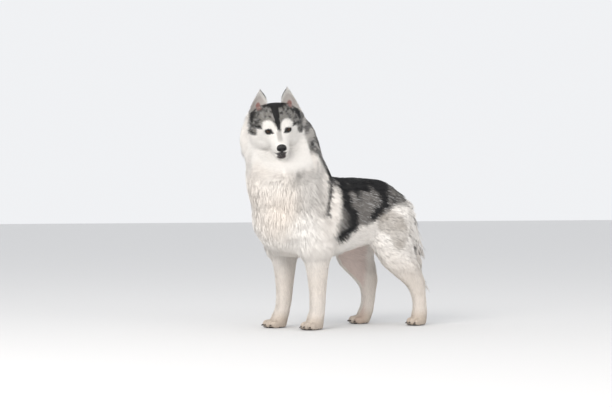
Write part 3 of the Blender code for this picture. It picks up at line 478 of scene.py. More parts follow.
def flesh_pieces():
    """Closed bodies that fuse into the dog."""
    rings = [
        section((0, y, z), X_AXIS, Z_AXIS, half, up, down, 2.15, 36)
        for y, z, half, up, down in smooth_rows(TRUNK)
    ]
    pieces = [loft(rings)]
    rings = []
    for x, y, z, turn, half, front, back in smooth_rows(NECK):
        angle = math.radians(turn)
        side = Vector((math.cos(angle), math.sin(angle), 0))
        ahead = Vector((math.sin(angle), -math.cos(angle), 0))
        rings.append(section((x, y, z), side, ahead, half, front, back, 2.1, 36))
    pieces += [loft(rings), *head_flesh(), loft(tail_rings())]
    for side, stride_fore, stride_hind in ((1, 0, 0), (-1, FORE_STRIDE, HIND_STRIDE)):
        pieces.append(leg(FORELEG, side, stride_fore, SHOULDER_HEIGHT))
        pieces.append(leg(HINDLEG, side, stride_hind, HIP_HEIGHT))
        shoulder = (side * 9.6, -26.0 - stride_of(42, stride_fore, SHOULDER_HEIGHT), 42.0)
        pieces.append(ellipsoid(shoulder, (5.0, 7.2, 11.0), (-20, side * 6, 0)))
    for name in PAWS:
        pieces += paw(name)
    return pieces


def in_scene(name, data):
    """A new object of some data, linked to the scene."""
    obj = bpy.data.objects.new(name, data)
    bpy.context.scene.collection.objects.link(obj)
    return obj


def object_from(name, pieces):
    """One object from several bmeshes, which are freed."""
    whole = bmesh.new()
    for piece in pieces:
        bmesh.ops.recalc_face_normals(piece, faces=piece.faces)
        mesh = bpy.data.meshes.new("piece")
        piece.to_mesh(mesh)
        piece.free()
        whole.from_mesh(mesh)
        bpy.data.meshes.remove(mesh)
    mesh = bpy.data.meshes.new(name)
    whole.to_mesh(mesh)
    whole.free()
    return in_scene(name, mesh)


def wear(obj, material):
    """Only this material on the object, and on all its faces."""
    obj.data.materials.clear()
    obj.data.materials.append(material)
    obj.data.polygons.foreach_set("material_index", np.zeros(len(obj.data.polygons), np.int32))


def apply_modifiers(obj):
    """The object's mesh with its modifiers worked in."""
    graph = bpy.context.evaluated_depsgraph_get()
    mesh = bpy.data.meshes.new_from_object(obj.evaluated_get(graph))
    old = obj.data
    obj.modifiers.clear()
    obj.data = mesh
    bpy.data.meshes.remove(old)


def fuse(obj, size):
    """Crossing bodies as one surface, by voxels of a size."""
    remesh = obj.modifiers.new("fuse", "REMESH")
    remesh.mode = "VOXEL"
    remesh.voxel_size = size
    apply_modifiers(obj)


def ease(obj, factor, *rounds):
    """Smooth a surface: each round is a vertex group, or none, and how many times."""
    for group, times in rounds:
        smooth = obj.modifiers.new("ease", "SMOOTH")
        smooth.factor = factor
        smooth.iterations = times
        smooth.vertex_group = group
    apply_modifiers(obj)


def points_of(obj, what="co"):
    """The places, or another vector, of an object's points."""
    flat = np.empty(len(obj.data.vertices) * 3)
    obj.data.vertices.foreach_get(what, flat)
    return flat.reshape(-1, 3)


def normals_of(obj):
    """Which way the surface faces at each of an object's points."""
    return points_of(obj, "normal")


def corners_of(obj):
    """The three points of each of an object's triangles."""
    obj.data.calc_loop_triangles()
    flat = np.empty(len(obj.data.loop_triangles) * 3, int)
    obj.data.loop_triangles.foreach_get("vertices", flat)
    return flat.reshape(-1, 3)


def set_group(obj, name, weights):
    """A vertex group with weights in tenths."""
    group = obj.vertex_groups.new(name=name)
    for level in range(1, 11):
        chosen = np.nonzero(np.round(weights * 10) == level)[0]
        group.add(chosen.tolist(), level / 10, "REPLACE")


def fine_places(points):
    """1 on the face and the paws, which keep their small forms, and 0 on the rest."""
    local = in_head(points)
    face = ramp(-local[:, 1], -1.0, 2.0) * ramp(local[:, 2], -10.5, -8.5)
    face *= 1 - ramp(np.abs(local[:, 0]), 7.5, 9.0)
    feet = ramp(-points[:, 2], -8.0, -6.0)
    return np.maximum(face, feet)


# Coat depth, length and width of a tuft in centimetres, and tufts for each square centimetre.
COATS = {
    "ear": (0.16, 0.9, 0.06, 40.0),
    "muzzle": (0.22, 0.8, 0.07, 42.0),
    "brow": (0.45, 1.4, 0.10, 30.0),
    "cheek": (1.1, 3.2, 0.20, 18.0),
    "ruff": (2.2, 5.8, 0.30, 12.0),
    "trunk": (1.5, 4.0, 0.28, 11.0),
    "belly": (1.1, 3.4, 0.28, 9.0),
    "breech": (1.6, 4.6, 0.28, 12.0),
    "leg": (0.5, 1.7, 0.18, 15.0),
    "paw": (0.22, 0.8, 0.11, 34.0),
    "tail": (1.9, 6.2, 0.28, 17.0),
}


def ear_frame(local):
    """Points in an ear's own terms: place across, from -1 inside to 1 outside, and place up."""
    inner, outer, tip = np.array(EAR_INNER), np.array(EAR_OUTER), np.array(EAR_TIP)
    middle = (inner + outer) / 2
    up, out = (tip - middle)[[0, 2]], (outer - inner)[[0, 2]] / 2
    flat = np.stack([np.abs(local[:, 0]), local[:, 2]], 1) - middle[[0, 2]]
    height = np.clip(flat @ up / (up @ up), -0.5, 1.2)
    away = flat - height[:, None] * up
    breadth = np.clip(1 - height, 0.02, 1) ** 0.78 * (1 + 0.2 * np.sin(math.pi * np.clip(height, 0, 1)))
    across = (away @ out) / (out @ out) / breadth
    return across, height


def on_ear(local):
    """1 on the free part of each ear, 0 on the skull."""
    inner, outer = np.array(EAR_INNER), np.array(EAR_OUTER)
    run = (outer - inner)[[0, 2]]
    up = np.array([-run[1], run[0]]) / np.linalg.norm(run)
    flat = np.stack([np.abs(local[:, 0]), local[:, 2]], 1) - inner[[0, 2]]
    return ramp(flat @ up, 0.7, 1.3) * band(local[:, 1], 3.2, 3.2, 0.8)


def coat_shares(points):
    """How much of each coat grows at points of the dog: a dictionary of arrays that add up to 1."""
    x, y, z = points.T
    local = in_head(points)
    hx, hy, hz = local.T
    head = ramp(hz - 0.09 * (hy - 3.0), -15.0, -8.0) * (1 - ramp(hy, 6.0, 10.0))
    front = 1 - ramp(y + 0.15 * (z - 45.0), -20.0, -8.0)
    tail = ramp(y, 22.0, 24.5) * (np.abs(x) < 6.2) * ramp(z, 12.0, 13.0) * (1 - ramp(z, 44.0, 49.0))
    ahead = HIND_STRIDE * (x < 0) * np.clip(1 - z / HIP_HEIGHT, 0, 1)
    fore_leg = (1 - ramp(z, 26.0, 34.0)) * (y < -8.0)
    hind_leg = (1 - ramp(z, 20.0, 27.0)) * (y > -8.0) * (np.abs(x) > 3.4)
    legs = np.maximum(fore_leg, hind_leg) * (1 - tail) * (1 - head)
    feet = (1 - ramp(z, 3.5, 7.5)) * legs
    ear = on_ear(local)
    head = np.maximum(head, ear) - ear
    raw = {"ear": ear}
    muzzle = head * (1 - ramp(hy + 0.25 * np.abs(hz + 3.0), -7.5, -4.5))
    cheek = head * ramp(hy + 0.35 * np.abs(hx) - 0.18 * hz, 1.6, 4.6) * (1 - ramp(hz, 0.5, 4.0))
    raw["muzzle"] = muzzle
    raw["cheek"] = cheek * (1 - muzzle)
    raw["brow"] = head - raw["muzzle"] - raw["cheek"]
    rest = (1 - head - ear) * (1 - tail)
    raw["tail"] = tail * (1 - head - ear)
    raw["paw"] = feet * rest
    raw["leg"] = (legs - feet) * rest
    rest = rest * (1 - legs)
    raw["ruff"] = rest * front
    rest = rest * (1 - front)
    raw["breech"] = rest * ramp(y + ahead, 13.0, 19.0) * (1 - ramp(z, 43.0, 49.0))
    rest = rest - raw["breech"]
    raw["belly"] = rest * (1 - ramp(z, 29.5, 34.0))
    raw["trunk"] = rest - raw["belly"]
    return raw


def coat_sizes(points):
    """Coat depth, length, width and density at points of the dog."""
    sizes = np.zeros((len(points), 4))
    for name, share in coat_shares(points).items():
        sizes += np.clip(share, 0, 1)[:, None] * np.array(COATS[name])
    return sizes


def arrows(like, *parts):
    """Vectors whose parts are arrays or plain numbers, as many as the given array is long."""
    return np.stack([part + 0.0 * like for part in parts], 1)


def lie_of(points):
    """Which way the coat lies at points of the dog, not yet laid on the skin."""
    x, y, z = points.T
    side = np.sign(x)
    shares = coat_shares(points)
    local = in_head(points)
    hx, hy, hz = local.T
    hside = np.sign(hx)
    turn = np.array(HEAD.to_3x3())
    near = np.exp(-((np.abs(hx) - EYE_AT[0]) ** 2 + (hz - EYE_AT[2]) ** 2) / 8.0)
    fall = 0.35 * np.tanh(hz / 3.0) - 0.1 * near
    face = arrows(x, hside * (0.25 + 0.05 * np.abs(hx)), 1.0, fall) @ turn.T
    cheek = arrows(x, hside * 0.8, 0.7, -0.75 + 0.08 * np.clip(hz, -4, 4)) @ turn.T
    back = ramp(y, -36.0, -18.0)
    rise = np.array([EAR_TIP[0] - 6.4, EAR_TIP[1] - 3.2, EAR_TIP[2] - 5.7])
    ear = arrows(x, hside * rise[0], rise[1], rise[2]) @ turn.T
    ways = {
        "ear": ear,
        "muzzle": face,
        "brow": face,
        "cheek": cheek,
        "ruff": arrows(x, -0.02 * x, 0.08 + 0.85 * back, -1.0),
        "trunk": arrows(x, 0.0, 1.0, -0.35 * np.minimum(1, np.abs(x) / 8) - 0.1),
        "belly": arrows(x, -0.15 * side, 1.0, -0.35),
        "breech": arrows(x, 0.0, 0.5, -1.0),
        "leg": arrows(x, 0.0, 0.18, -1.0),
        "paw": arrows(x, 0.0, -0.8, -0.6),
        "tail": arrows(x, 0.12 * x, 0.30 + 0.10 * np.clip((y - 27.0) / 3.0, -1, 1), -1.0),
    }
    flow = sum(np.clip(shares[name], 0, 1)[:, None] * ways[name] for name in ways)
    return unit(flow)


def ear_point(centre, across, half, cup, thick, place, face):
    """A point of an ear's crescent: place runs across from -1 to 1, face is back or front."""
    angle = place * math.pi / 2
    back = cup * math.cos(angle) - 0.35 * cup
    edge = max(0.12, math.sqrt(max(0.0, 1 - place**2))) * thick / 2
    return centre + across * half * math.sin(angle) + Vector((0, back + face * edge, 0))


def ear(side):
    """Crescent sections from inside the skull to the tip, opening forward."""
    inner, outer, tip = (Vector((side * p[0], p[1], p[2])) for p in (EAR_INNER, EAR_OUTER, EAR_TIP))
    middle, across = (inner + outer) / 2, (outer - inner) / 2
    rings = []
    for t in (-0.22, -0.1, 0.0, 0.1, 0.2, 0.3, 0.4, 0.5, 0.6, 0.7, 0.8, 0.88, 0.95, 1.0):
        centre = middle + (tip - middle) * t + Vector((0, 0.5, 0)) * math.sin(math.pi * max(t, 0.0))
        breadth = max(0.0, 1 - max(t, 0.0)) ** 0.78 * (1 + 0.2 * math.sin(math.pi * max(t, 0.0)))
        half = max(0.22, (across.length - EAR_RIM) * breadth)
        cup = 2.6 * breadth * (1 - 0.25 * t)
        thick = EAR_THICKNESS * (0.7 + 0.3 * breadth)
        ring = [ear_point(centre, across.normalized(), half, cup, thick, 1 - k / 8, 1) for k in range(17)]
        ring += [ear_point(centre, across.normalized(), half, cup, thick, k / 8 - 1, -1) for k in range(17)]
        rings.append(ring)
    return loft(rings, HEAD)


def eye_gaze(side):
    """The eye's frame: its own -Y looks where the photo's camera stands."""
    centre = HEAD @ eye_place(side)
    towards = (CAMERA_PLACE - centre).normalized()
    return Matrix.Translation(centre) @ towards.to_track_quat("-Y", "Z").to_matrix().to_4x4()


def almond(side, reach, scale, count=28):
    """The outline of an eye's opening, pointed at its corners, at a depth before the eye's middle."""
    wide, high = EYE_OPENING
    turned = Matrix.Rotation(side * 0.26, 4, "Z") @ Matrix.Rotation(side * -0.2, 4, "Y")
    frame_of_eye = Matrix.Translation(eye_place(side)) @ turned
    ring = []
    for k in range(count):
        angle = 2 * math.pi * k / count
        x, z = math.cos(angle), math.sin(angle)
        lift = z * high * scale * (1 - 0.35 * x * x)
        ring.append(frame_of_eye @ Vector((x * wide * scale, -reach, lift)))
    return ring


def face_details():
    """What the drawn-in face gets on top: lids round the eyeballs, and the ears."""
    pieces = [ear(side) for side in (-1, 1)]
    for side in (-1, 1):
        lids = (EYE_RADIUS + LID_THICKNESS,) * 3
        pieces.append(ellipsoid(eye_place(side), lids, matrix=HEAD, segments=32))
    return pieces


def cut(obj, pieces):
    """Take closed bodies out of an object."""
    for piece in pieces:
        cutter = object_from("cutter", [piece])
        carve = obj.modifiers.new("carve", "BOOLEAN")
        carve.solver = "MANIFOLD"
        carve.operation = "DIFFERENCE"
        carve.object = cutter
        apply_modifiers(obj)
        bpy.data.objects.remove(cutter, do_unlink=True)


def mouth_slit():
    """The line between the lips, a thin slit round the muzzle."""
    left = smooth_rows(MOUTH, 3)
    path = [Vector(row) for row in (*[row * (-1, 1, 1) for row in left[:0:-1]], *left)]
    rings = []
    for i, point in enumerate(path):
        along_it = (path[min(i + 1, len(path) - 1)] - path[max(i - 1, 0)]).normalized()
        inward = Z_AXIS.cross(along_it).normalized()
        inside = 0 < i < len(path) - 1
        depth, high = (0.62, 0.13) if inside else (0.12, 0.05)
        rings.append([
            point + inward * (-out * depth) + Vector((0, 0, up * high))
            for out, up in ((1.0, 0.9), (-1.0, 0.0), (1.0, -0.9))
        ])
    return loft(rings, HEAD)


def make_skin():
    """One skin over the whole dog, drawn in from the solids' outline by the coat's depth."""
    skin = object_from("husky_skin", flesh_pieces())
    fuse(skin, SKIN_VOXEL)
    points = points_of(skin)
    soft = 1 - fine_places(points)
    set_group(skin, "soft", soft)
    set_group(skin, "bulk", soft * ramp(points[:, 2], 24.0, 34.0))
    ease(skin, 0.6, ("bulk", 220), ("soft", 50), ("", 9))
    points = points_of(skin)
    points -= normals_of(skin) * (coat_sizes(points)[:, :1] * DRAWN_IN)
    skin.data.vertices.foreach_set("co", points.ravel())
    bm = bmesh.new()
    bm.from_mesh(skin.data)
    bpy.data.objects.remove(skin, do_unlink=True)
    skin = object_from("husky_skin", [bm, *face_details()])
    fuse(skin, SKIN_VOXEL * 0.9)
    ease(skin, 0.5, ("", 3))
    return skin


def open_face(skin):
    """Cut the eyes' sockets and openings and the mouth's line into the finished skin."""
    pieces = []
    for side in (-1, 1):
        socket = (EYE_RADIUS + 0.02,) * 3
        pieces.append(ellipsoid(eye_place(side), socket, matrix=HEAD, segments=48))
        pieces.append(loft([almond(side, 0.35, 0.30), almond(side, 3.2, 2.9)], HEAD))
    cut(skin, [*pieces, mouth_slit()])


def thin_skin(skin):
    """Fewer triangles away from the face, ears and paws."""
    points = points_of(skin)
    local = in_head(points)
    near = (fine_places(points) > 0.5) | ((local[:, 1] < 8) & (local[:, 2] > -9))
    set_group(skin, "thinned", (~near).astype(float))
    corners = corners_of(skin)
    body = int((~near)[corners].all(axis=1).sum())
    decimate = skin.modifiers.new("thin", "DECIMATE")
    decimate.ratio = (len(corners) - body + BODY_TRIANGLES) / len(corners)
    decimate.vertex_group = "thinned"
    decimate.vertex_group_factor = 10.0
    apply_modifiers(skin)
    skin.vertex_groups.clear()


def stand_in_frame(obj):
    """From the dog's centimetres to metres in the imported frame."""
    obj.data.vertices.foreach_set("co", to_frame(points_of(obj)).ravel())
    obj.data.update()


def unwrap(skin):
    """A UV map on the skin's own shape, which the coat's tufts take their places from."""
    bpy.context.view_layer.objects.active = skin
    skin.select_set(True)
    bpy.ops.object.mode_set(mode="EDIT")
    bpy.ops.mesh.select_all(action="SELECT")
    bpy.ops.uv.smart_project(angle_limit=math.radians(66), island_margin=0.004)
    bpy.ops.object.mode_set(mode="OBJECT")
    skin.data.uv_layers[0].name = "OFBake"


# Colours of the coat, linear, among them two of painted shade, for the thighs and the hollows of the ears.
WHITE = (0.93, 0.90, 0.86)
CREAM = (0.84, 0.72, 0.61)
TAN = (0.52, 0.40, 0.29)
GREY = (0.24, 0.225, 0.21)
BLACK = (0.012, 0.012, 0.013)
CAP = (0.29, 0.275, 0.25)
LIP = (0.035, 0.025, 0.027)
# The colour of the painted shade on the thighs.
THIGH_PAINTED_SHADE = (0.30, 0.26, 0.22)
PINK = (0.47, 0.18, 0.15)
# The colour of the painted shade in the hollow of each ear.
EAR_PAINTED_SHADE = (0.42, 0.34, 0.30)
PAD = (0.03, 0.026, 0.025)

# Colours of the eye, linear, and how many degrees off its axis the iris and the pupil reach.
EYEBALL = (0.06, 0.048, 0.042)
IRIS, IRIS_STREAK, IRIS_EDGE = (0.040, 0.019, 0.010), (0.095, 0.045, 0.02), (0.008, 0.006, 0.005)
PUPIL = (0.002, 0.002, 0.002)
IRIS_REACH, PUPIL_REACH = 39.5, 16.5

# The dark line down the neck's side, in (y, z).
COLLAR = [(-20.5, 73.0), (-23.5, 68.5), (-30.2, 60.9), (-32.5, 55.5), (-34.6, 51.8)]


def head_marks(colours, points, normals, wander):
    """Cap, forehead stripe, side patches, white spots, eye rims and lips."""
    local = in_head(points)
    hx, hy, hz = local.T
    side = np.abs(hx)
    ragged = 1.4 * (wander - 0.5)
    on_head = ramp(hz - 0.09 * (hy - 3.0), -11.5, -7.8) * (1 - ramp(hy, 8.0, 12.0))
    on_head *= 1 - ramp(side + 0.8 * ragged + 0.12 * hz, 9.6, 11.0)
    marked = lay(colours, WHITE, on_head)
    edge = hz - 2.0 + 0.16 * (side - 4.0) + ragged
    cap = ramp(edge, -0.3, 0.8)
    patch = ramp(side + 0.4 * hy + ragged, 6.2, 7.2) * ramp(hz + 0.12 * (side - 8.0) + ragged, -1.3, -0.5)
    behind = ramp(hy - 0.12 * hz + ragged, 1.5, 3.2) * ramp(hz, -10.5, -6.5)
    cap = np.maximum(np.maximum(cap, patch), behind)
    spots = np.maximum(*(spot(local, (s * 3.6, -4.8, 2.7), (2.6, 3.6, 2.35)) for s in (-1, 1)))
    cap = cap * (1 - spots) * on_head
    streak = noise(points * 1.6, 1.5, 5)
    dark = 0.25 + 0.6 * ramp(streak, 0.48, 0.70)
    dark = np.maximum(dark, 0.85 * ramp(side + 0.4 * hy + 0.15 * hz, 8.6, 10.2))
    cap_colour = lay(np.tile(CAP, (len(points), 1)), BLACK, dark)
    marked = lay(marked, cap_colour, cap)
    rim = band(edge, 0.5, 0.35, 0.5) * (1 - spots) * ramp(side, 4.6, 6.0)
    low_rim = band(hz + 0.12 * (side - 8.0) + ragged, -0.9, 0.4, 0.4) * ramp(side + 0.4 * hy, 6.4, 7.6)
    crown = ramp(side + 0.9 * hz, 10.4, 11.6) * ramp(hy, -1.0, 1.5) * (1 - ramp(hy, 3.0, 5.5))
    rims = np.maximum(rim, low_rim) * (1 - ramp(hy, 2.0, 4.0))
    marked = lay(marked, BLACK, 0.8 * np.maximum(rims, crown) * on_head)
    stripe_half = 0.62 + 0.11 * np.clip(hz - 3.0, 0, 6) ** 1.1
    stripe = band(hx + 0.10 * (hz - 4.0), 0.05, stripe_half, 0.4) * ramp(hz, 0.6, 2.0)
    top = ramp(hz, 7.5, 8.4) * (1 - ramp(side, 3.6, 5.2)) * ramp(hy, -1.6, 0.0)
    marked = lay(marked, BLACK, 0.97 * np.maximum(stripe * on_head, top * on_head))
    bridge = band(hx, 0.0, 0.5, 0.9) * ramp(-hy, 5.5, 7.0) * ramp(hz, -1.6, -0.4) * (1 - ramp(hz, 0.8, 1.6))
    marked = lay(marked, GREY, 0.55 * bridge * on_head)
    for s in (-1, 1):
        eye_at = (s * EYE_AT[0], EYE_AT[1] - 0.8, EYE_AT[2])
        marked = lay(marked, BLACK, 0.97 * spot(local, eye_at, (1.58, 1.8, 1.2)))
        corner = (s * (EYE_AT[0] - 1.35), EYE_AT[1] - 1.0, EYE_AT[2] - 0.5)
        marked = lay(marked, BLACK, 0.9 * spot(local, corner, (0.65, 1.2, 0.42)))
    across, height = ear_frame(local)
    on_ears = on_ear(local)
    front = ramp(-(normals @ np.array(HEAD.to_3x3())[:, 1]), -0.25, 0.15)
    ear_colour = lay(np.tile(BLACK, (len(points), 1)), GREY, 0.5 * wander)
    ear_colour = lay(ear_colour, WHITE, front * (1 - ramp(-across, 0.74, 0.92)))
    place = np.stack([across, height], 1)
    # Painted shade in the hollow of the ear's inside.
    ear_colour = lay(ear_colour, EAR_PAINTED_SHADE, 0.42 * front * spot(place, (-0.12, 0.26), (0.5, 0.5)))
    ear_colour = lay(ear_colour, PINK, 0.8 * front * spot(place, (-0.05, 0.24), (0.16, 0.15)))
    marked = lay(marked, ear_colour, on_ears)
    lips = spot(local, (0, -12.6, -5.6), (2.3, 2.4, 1.15))
    under = spot(local, (0, -12.1, -6.8), (1.9, 2.2, 0.95))
    line = band(hz, -5.45, 0.15, 0.2) * ramp(-hy, 7.5, 9.5) * on_head
    marked = lay(marked, LIP, 0.95 * np.maximum(np.maximum(lips, under), 0.8 * line))
    return marked


def coat_colours(points, normals):
    """The coat's markings as colours at points of the dog, with painted shade on the thighs and on the
    chest's left half.
    """
    x, y, z = points.T
    wander = 0.6 * noise(points, 3.2, 1) + 0.4 * noise(points, 1.3, 2)
    broad = noise(points, 9.0, 3)
    ribs = noise(points * np.array([0.6, 1.0, 0.35]), 2.4, 4)
    streak = noise(points * np.array([1.0, 1.0, 0.4]), 1.3, 6)
    colours = np.tile(WHITE, (len(points), 1))
    colours = lay(colours, CREAM, 0.3 * broad + 0.35 * (1 - ramp(z, 12.0, 34.0)))
    # Cream on the chest's left half: partly the cream of the fur, partly painted shade on that side of the
    # chest.
    chest_cream_and_shade = spot(points, (5.0, -38.0, 50.0), (10.0, 16.0, 17.0))
    colours = lay(colours, CREAM, 0.4 * chest_cream_and_shade * (0.5 + 0.5 * broad))
    lower = 33.0 + 6.0 * ramp(y, -12.0, -2.0) + 7.5 * ramp(y, -2.0, 15.0) + 2.2 * (wander - 0.5)
    saddle = ramp(z - lower, -1.2, 1.6) * ramp(y - 0.17 * (z - 45.0), -14.4, -12.2)
    saddle *= 1 - ramp(y - 0.35 * (z - 44), 17.5, 20.5)
    colours = lay(colours, GREY, saddle)
    breaks = ramp(ribs + 0.25 * ramp(z, 47.0, 56.0), 0.42, 0.68)
    colours = lay(colours, BLACK, saddle * (0.25 + 0.75 * breaks))
    spine = ramp(z + 0.2 * wander, 54.5, 56.5) * ramp(y, -17.0, -13.0) * (1 - ramp(y, 14.0, 20.0))
    colours = lay(colours, BLACK, 0.85 * spine)
    stripe = band(y - 0.25 * (z - 48.2), -17.9, 0.8, 0.9) * ramp(z, 39.5, 43.0) * (1 - ramp(z, 60.0, 64.0))
    colours = lay(colours, BLACK, 0.9 * stripe)
    shoulder = band(y + 0.1 * (z - 50), -26.5, 4.6, 2.5) * band(z, 50.5, 6.5, 3.5)
    shoulder *= ramp(np.abs(x), 7.0, 10.0)
    colours = lay(colours, GREY, 0.42 * shoulder * (0.5 + 0.7 * wander))
    nape = ramp(y + 0.68 * (z - 66.7) + 1.6 * (wander - 0.5), -25.3, -22.7) * ramp(z, 51.0, 54.0)
    colours = lay(colours, BLACK, 0.88 * nape * (0.55 + 0.45 * ramp(streak, 0.3, 0.55)))
    far, way = line_distance(y, z, COLLAR)
    collar = (1 - ramp(far + 0.8 * (wander - 0.5), 0.3, 2.3)) * ramp(np.abs(x), 4.0, 8.5)
    colours = lay(colours, BLACK, (0.80 - 0.5 * way) * collar * (0.45 + 0.55 * ramp(streak, 0.3, 0.6)))
    between = ramp(y + 0.95 * (z - 61.0), -30.0, -26.5) * (1 - nape)
    between *= ramp(z, 52.0, 56.0) * ramp(np.abs(x), 5.0, 8.0)
    colours = lay(colours, GREY, 0.28 * between * ramp(streak, 0.40, 0.70))
    # Painted shade on each thigh, below the rear end of the saddle and before the tail, mottled by the
    # wander.
    thigh_painted_shade = 0
    for across, back in ((14.0, 0.0), (-14.0, -4.0)):
        high = spot(points, (across, 8.6 + back, 39.6), (7.0, 5.4, 5.0))
        low = spot(points, (across, 12.8 + back, 36.0), (7.0, 4.2, 7.0))
        thigh_painted_shade = thigh_painted_shade + np.maximum(high, low)
    colours = lay(colours, THIGH_PAINTED_SHADE, 0.62 * thigh_painted_shade * (0.4 + wander))
    colours = lay(colours, PINK, 0.28 * ramp(-z, -32.0, -29.0) * band(y, 4.0, 4.5, 3.0) * (np.abs(x) < 8))
    feet = 1 - ramp(z, 2.0, 7.0)
    colours = lay(colours, TAN, 0.5 * feet)
    tail_tip = ramp(-z, -26.0, -20.0) * ramp(y, 24.0, 26.0) * (np.abs(x) < 6.5)
    colours = lay(colours, GREY, 0.45 * tail_tip)
    colours = head_marks(colours, points, normals, wander)
    pads = (1 - ramp(z, 0.25, 0.7)) * (normals[:, 2] < -0.5)
    colours = lay(colours, PAD, pads)
    return colours


def plain_material(name, colour, settings):
    """A material of one colour, with other inputs of its surface set by their names."""
    made = bpy.data.materials.new(name)
    made.use_nodes = True
    surface = made.node_tree.nodes["Principled BSDF"]
    surface.inputs["Base Color"].default_value = (*colour, 1)
    for socket, value in settings.items():
        surface.inputs[socket].default_value = value
    return made


def coat_material(name, settings):
    """Fur, skin or eye that takes its markings and painted shade from the colours on its points."""
    made = plain_material(name, WHITE, settings)
    nodes, links = made.node_tree.nodes, made.node_tree.links
    colour = nodes.new("ShaderNodeAttribute")
    colour.attribute_name = "coat"
    links.new(colour.outputs["Color"], nodes["Principled BSDF"].inputs["Base Color"])
    return made


def relief(material, texture, height, scale, strength, depth):
    """Fine grain in the surface, from a pattern in the piece's own coordinates."""
    nodes, links = material.node_tree.nodes, material.node_tree.links
    place = nodes.new("ShaderNodeTexCoord")
    grain = nodes.new(texture)
    grain.inputs["Scale"].default_value = scale
    bump = nodes.new("ShaderNodeBump")
    bump.inputs["Strength"].default_value = strength
    bump.inputs["Distance"].default_value = depth * CM
    links.new(place.outputs["Object"], grain.inputs["Vector"])
    links.new(grain.outputs[height], bump.inputs["Height"])
    links.new(bump.outputs["Normal"], nodes["Principled BSDF"].inputs["Normal"])
    return grain


def paint(mesh, colours):
    """Give each point of a mesh its colour of coat."""
    layer = mesh.color_attributes.new("coat", "FLOAT_COLOR", "POINT")
    rgba = np.ones((len(colours), 4), np.float32)
    rgba[:, :3] = colours
    layer.data.foreach_set("color", rgba.ravel())


def scatter(skin, rng):
    """Roots spread over the skin by the coat's density: places, normals and UVs."""
    mesh = skin.data
    corners = corners_of(skin)
    loops = np.empty(len(corners) * 3, int)
    mesh.loop_triangles.foreach_get("loops", loops)
    uvs = np.empty(len(mesh.loops) * 2)
    mesh.uv_layers["OFBake"].data.foreach_get("uv", uvs)
    uvs = uvs.reshape(-1, 2)[loops.reshape(-1, 3)]
    points, normals = points_of(skin), normals_of(skin)
    a, b, c = points[corners].transpose(1, 0, 2)
    area = np.linalg.norm(np.cross(b - a, c - a), axis=1) / 2
    middle = (a + b + c) / 3
    density = coat_sizes(middle)[:, 3]
    local = in_head(middle)
    bare = middle[:, 2] < 0.4
    for side in (-1, 1):
        apart = local - np.array(eye_place(side))
        bare |= (np.linalg.norm(apart, axis=1) < EYE_RADIUS + 0.1)
        inside = np.abs(apart[:, [0, 2]]) < np.array(BARE_ROUND_EYE)
        bare |= inside.all(axis=1) & (apart[:, 1] < 0)
    bare |= (np.linalg.norm((local - np.array(NOSE_AT)) / np.array(NOSE_RADII), axis=1) < 0.98)
    weight = area * density * ~bare
    chosen = rng.choice(len(area), TUFTS, p=weight / weight.sum())
    u, v = np.sqrt(rng.random(TUFTS)), rng.random(TUFTS)
    share = np.stack([1 - u, u * (1 - v), u * v], 1)[:, :, None]
    root = (points[corners[chosen]] * share).sum(axis=1)
    normal = unit((normals[corners[chosen]] * share).sum(axis=1))
    uv = (uvs[chosen] * share).sum(axis=1)
    return root, normal, uv


def on_skin(tree, points, facing):
    """The nearest places on the skin and their normals; a place that faces away keeps its point."""
    found = [tree.find_nearest(point) for point in points]
    places = np.array([hit for hit, _, _, _ in found])
    normals = np.array([normal for _, normal, _, _ in found])
    turned = ((normals * facing).sum(axis=1) < 0.1)[:, None]
    return np.where(turned, points, places), np.where(turned, facing, normals)


def unit(vectors):
    """Vectors at length one."""
    return vectors / (np.linalg.norm(vectors, axis=-1, keepdims=True) + 1e-9)


def along(flow, normal):
    """The flow laid on the surface."""
    return unit(flow - normal * (flow * normal).sum(axis=1, keepdims=True))


def bunches(roots, normals, size):
    """Which bunch each tuft belongs to: neighbours on the same side of the body share one."""
    level = np.round(np.log2(size)).astype(np.int64)
    cells = np.floor(roots / np.exp2(level)[:, None]).astype(np.int64) + CELLS_ACROSS // 2
    facing = (normals > 0) @ np.array([1, 2, 4])
    keys = (level + 8) * 8 + facing
    for axis in range(3):
        keys = keys * CELLS_ACROSS + cells[:, axis]
    return np.unique(keys, return_inverse=True)[1]


def clump(member, ends, pull):
    """Draw the ends of each bunch's tufts together."""
    count = np.bincount(member)
    middle = np.stack([np.bincount(member, ends[:, i]) / count for i in range(3)], 1)
    return ends + (middle[member] - ends) * pull[:, None]


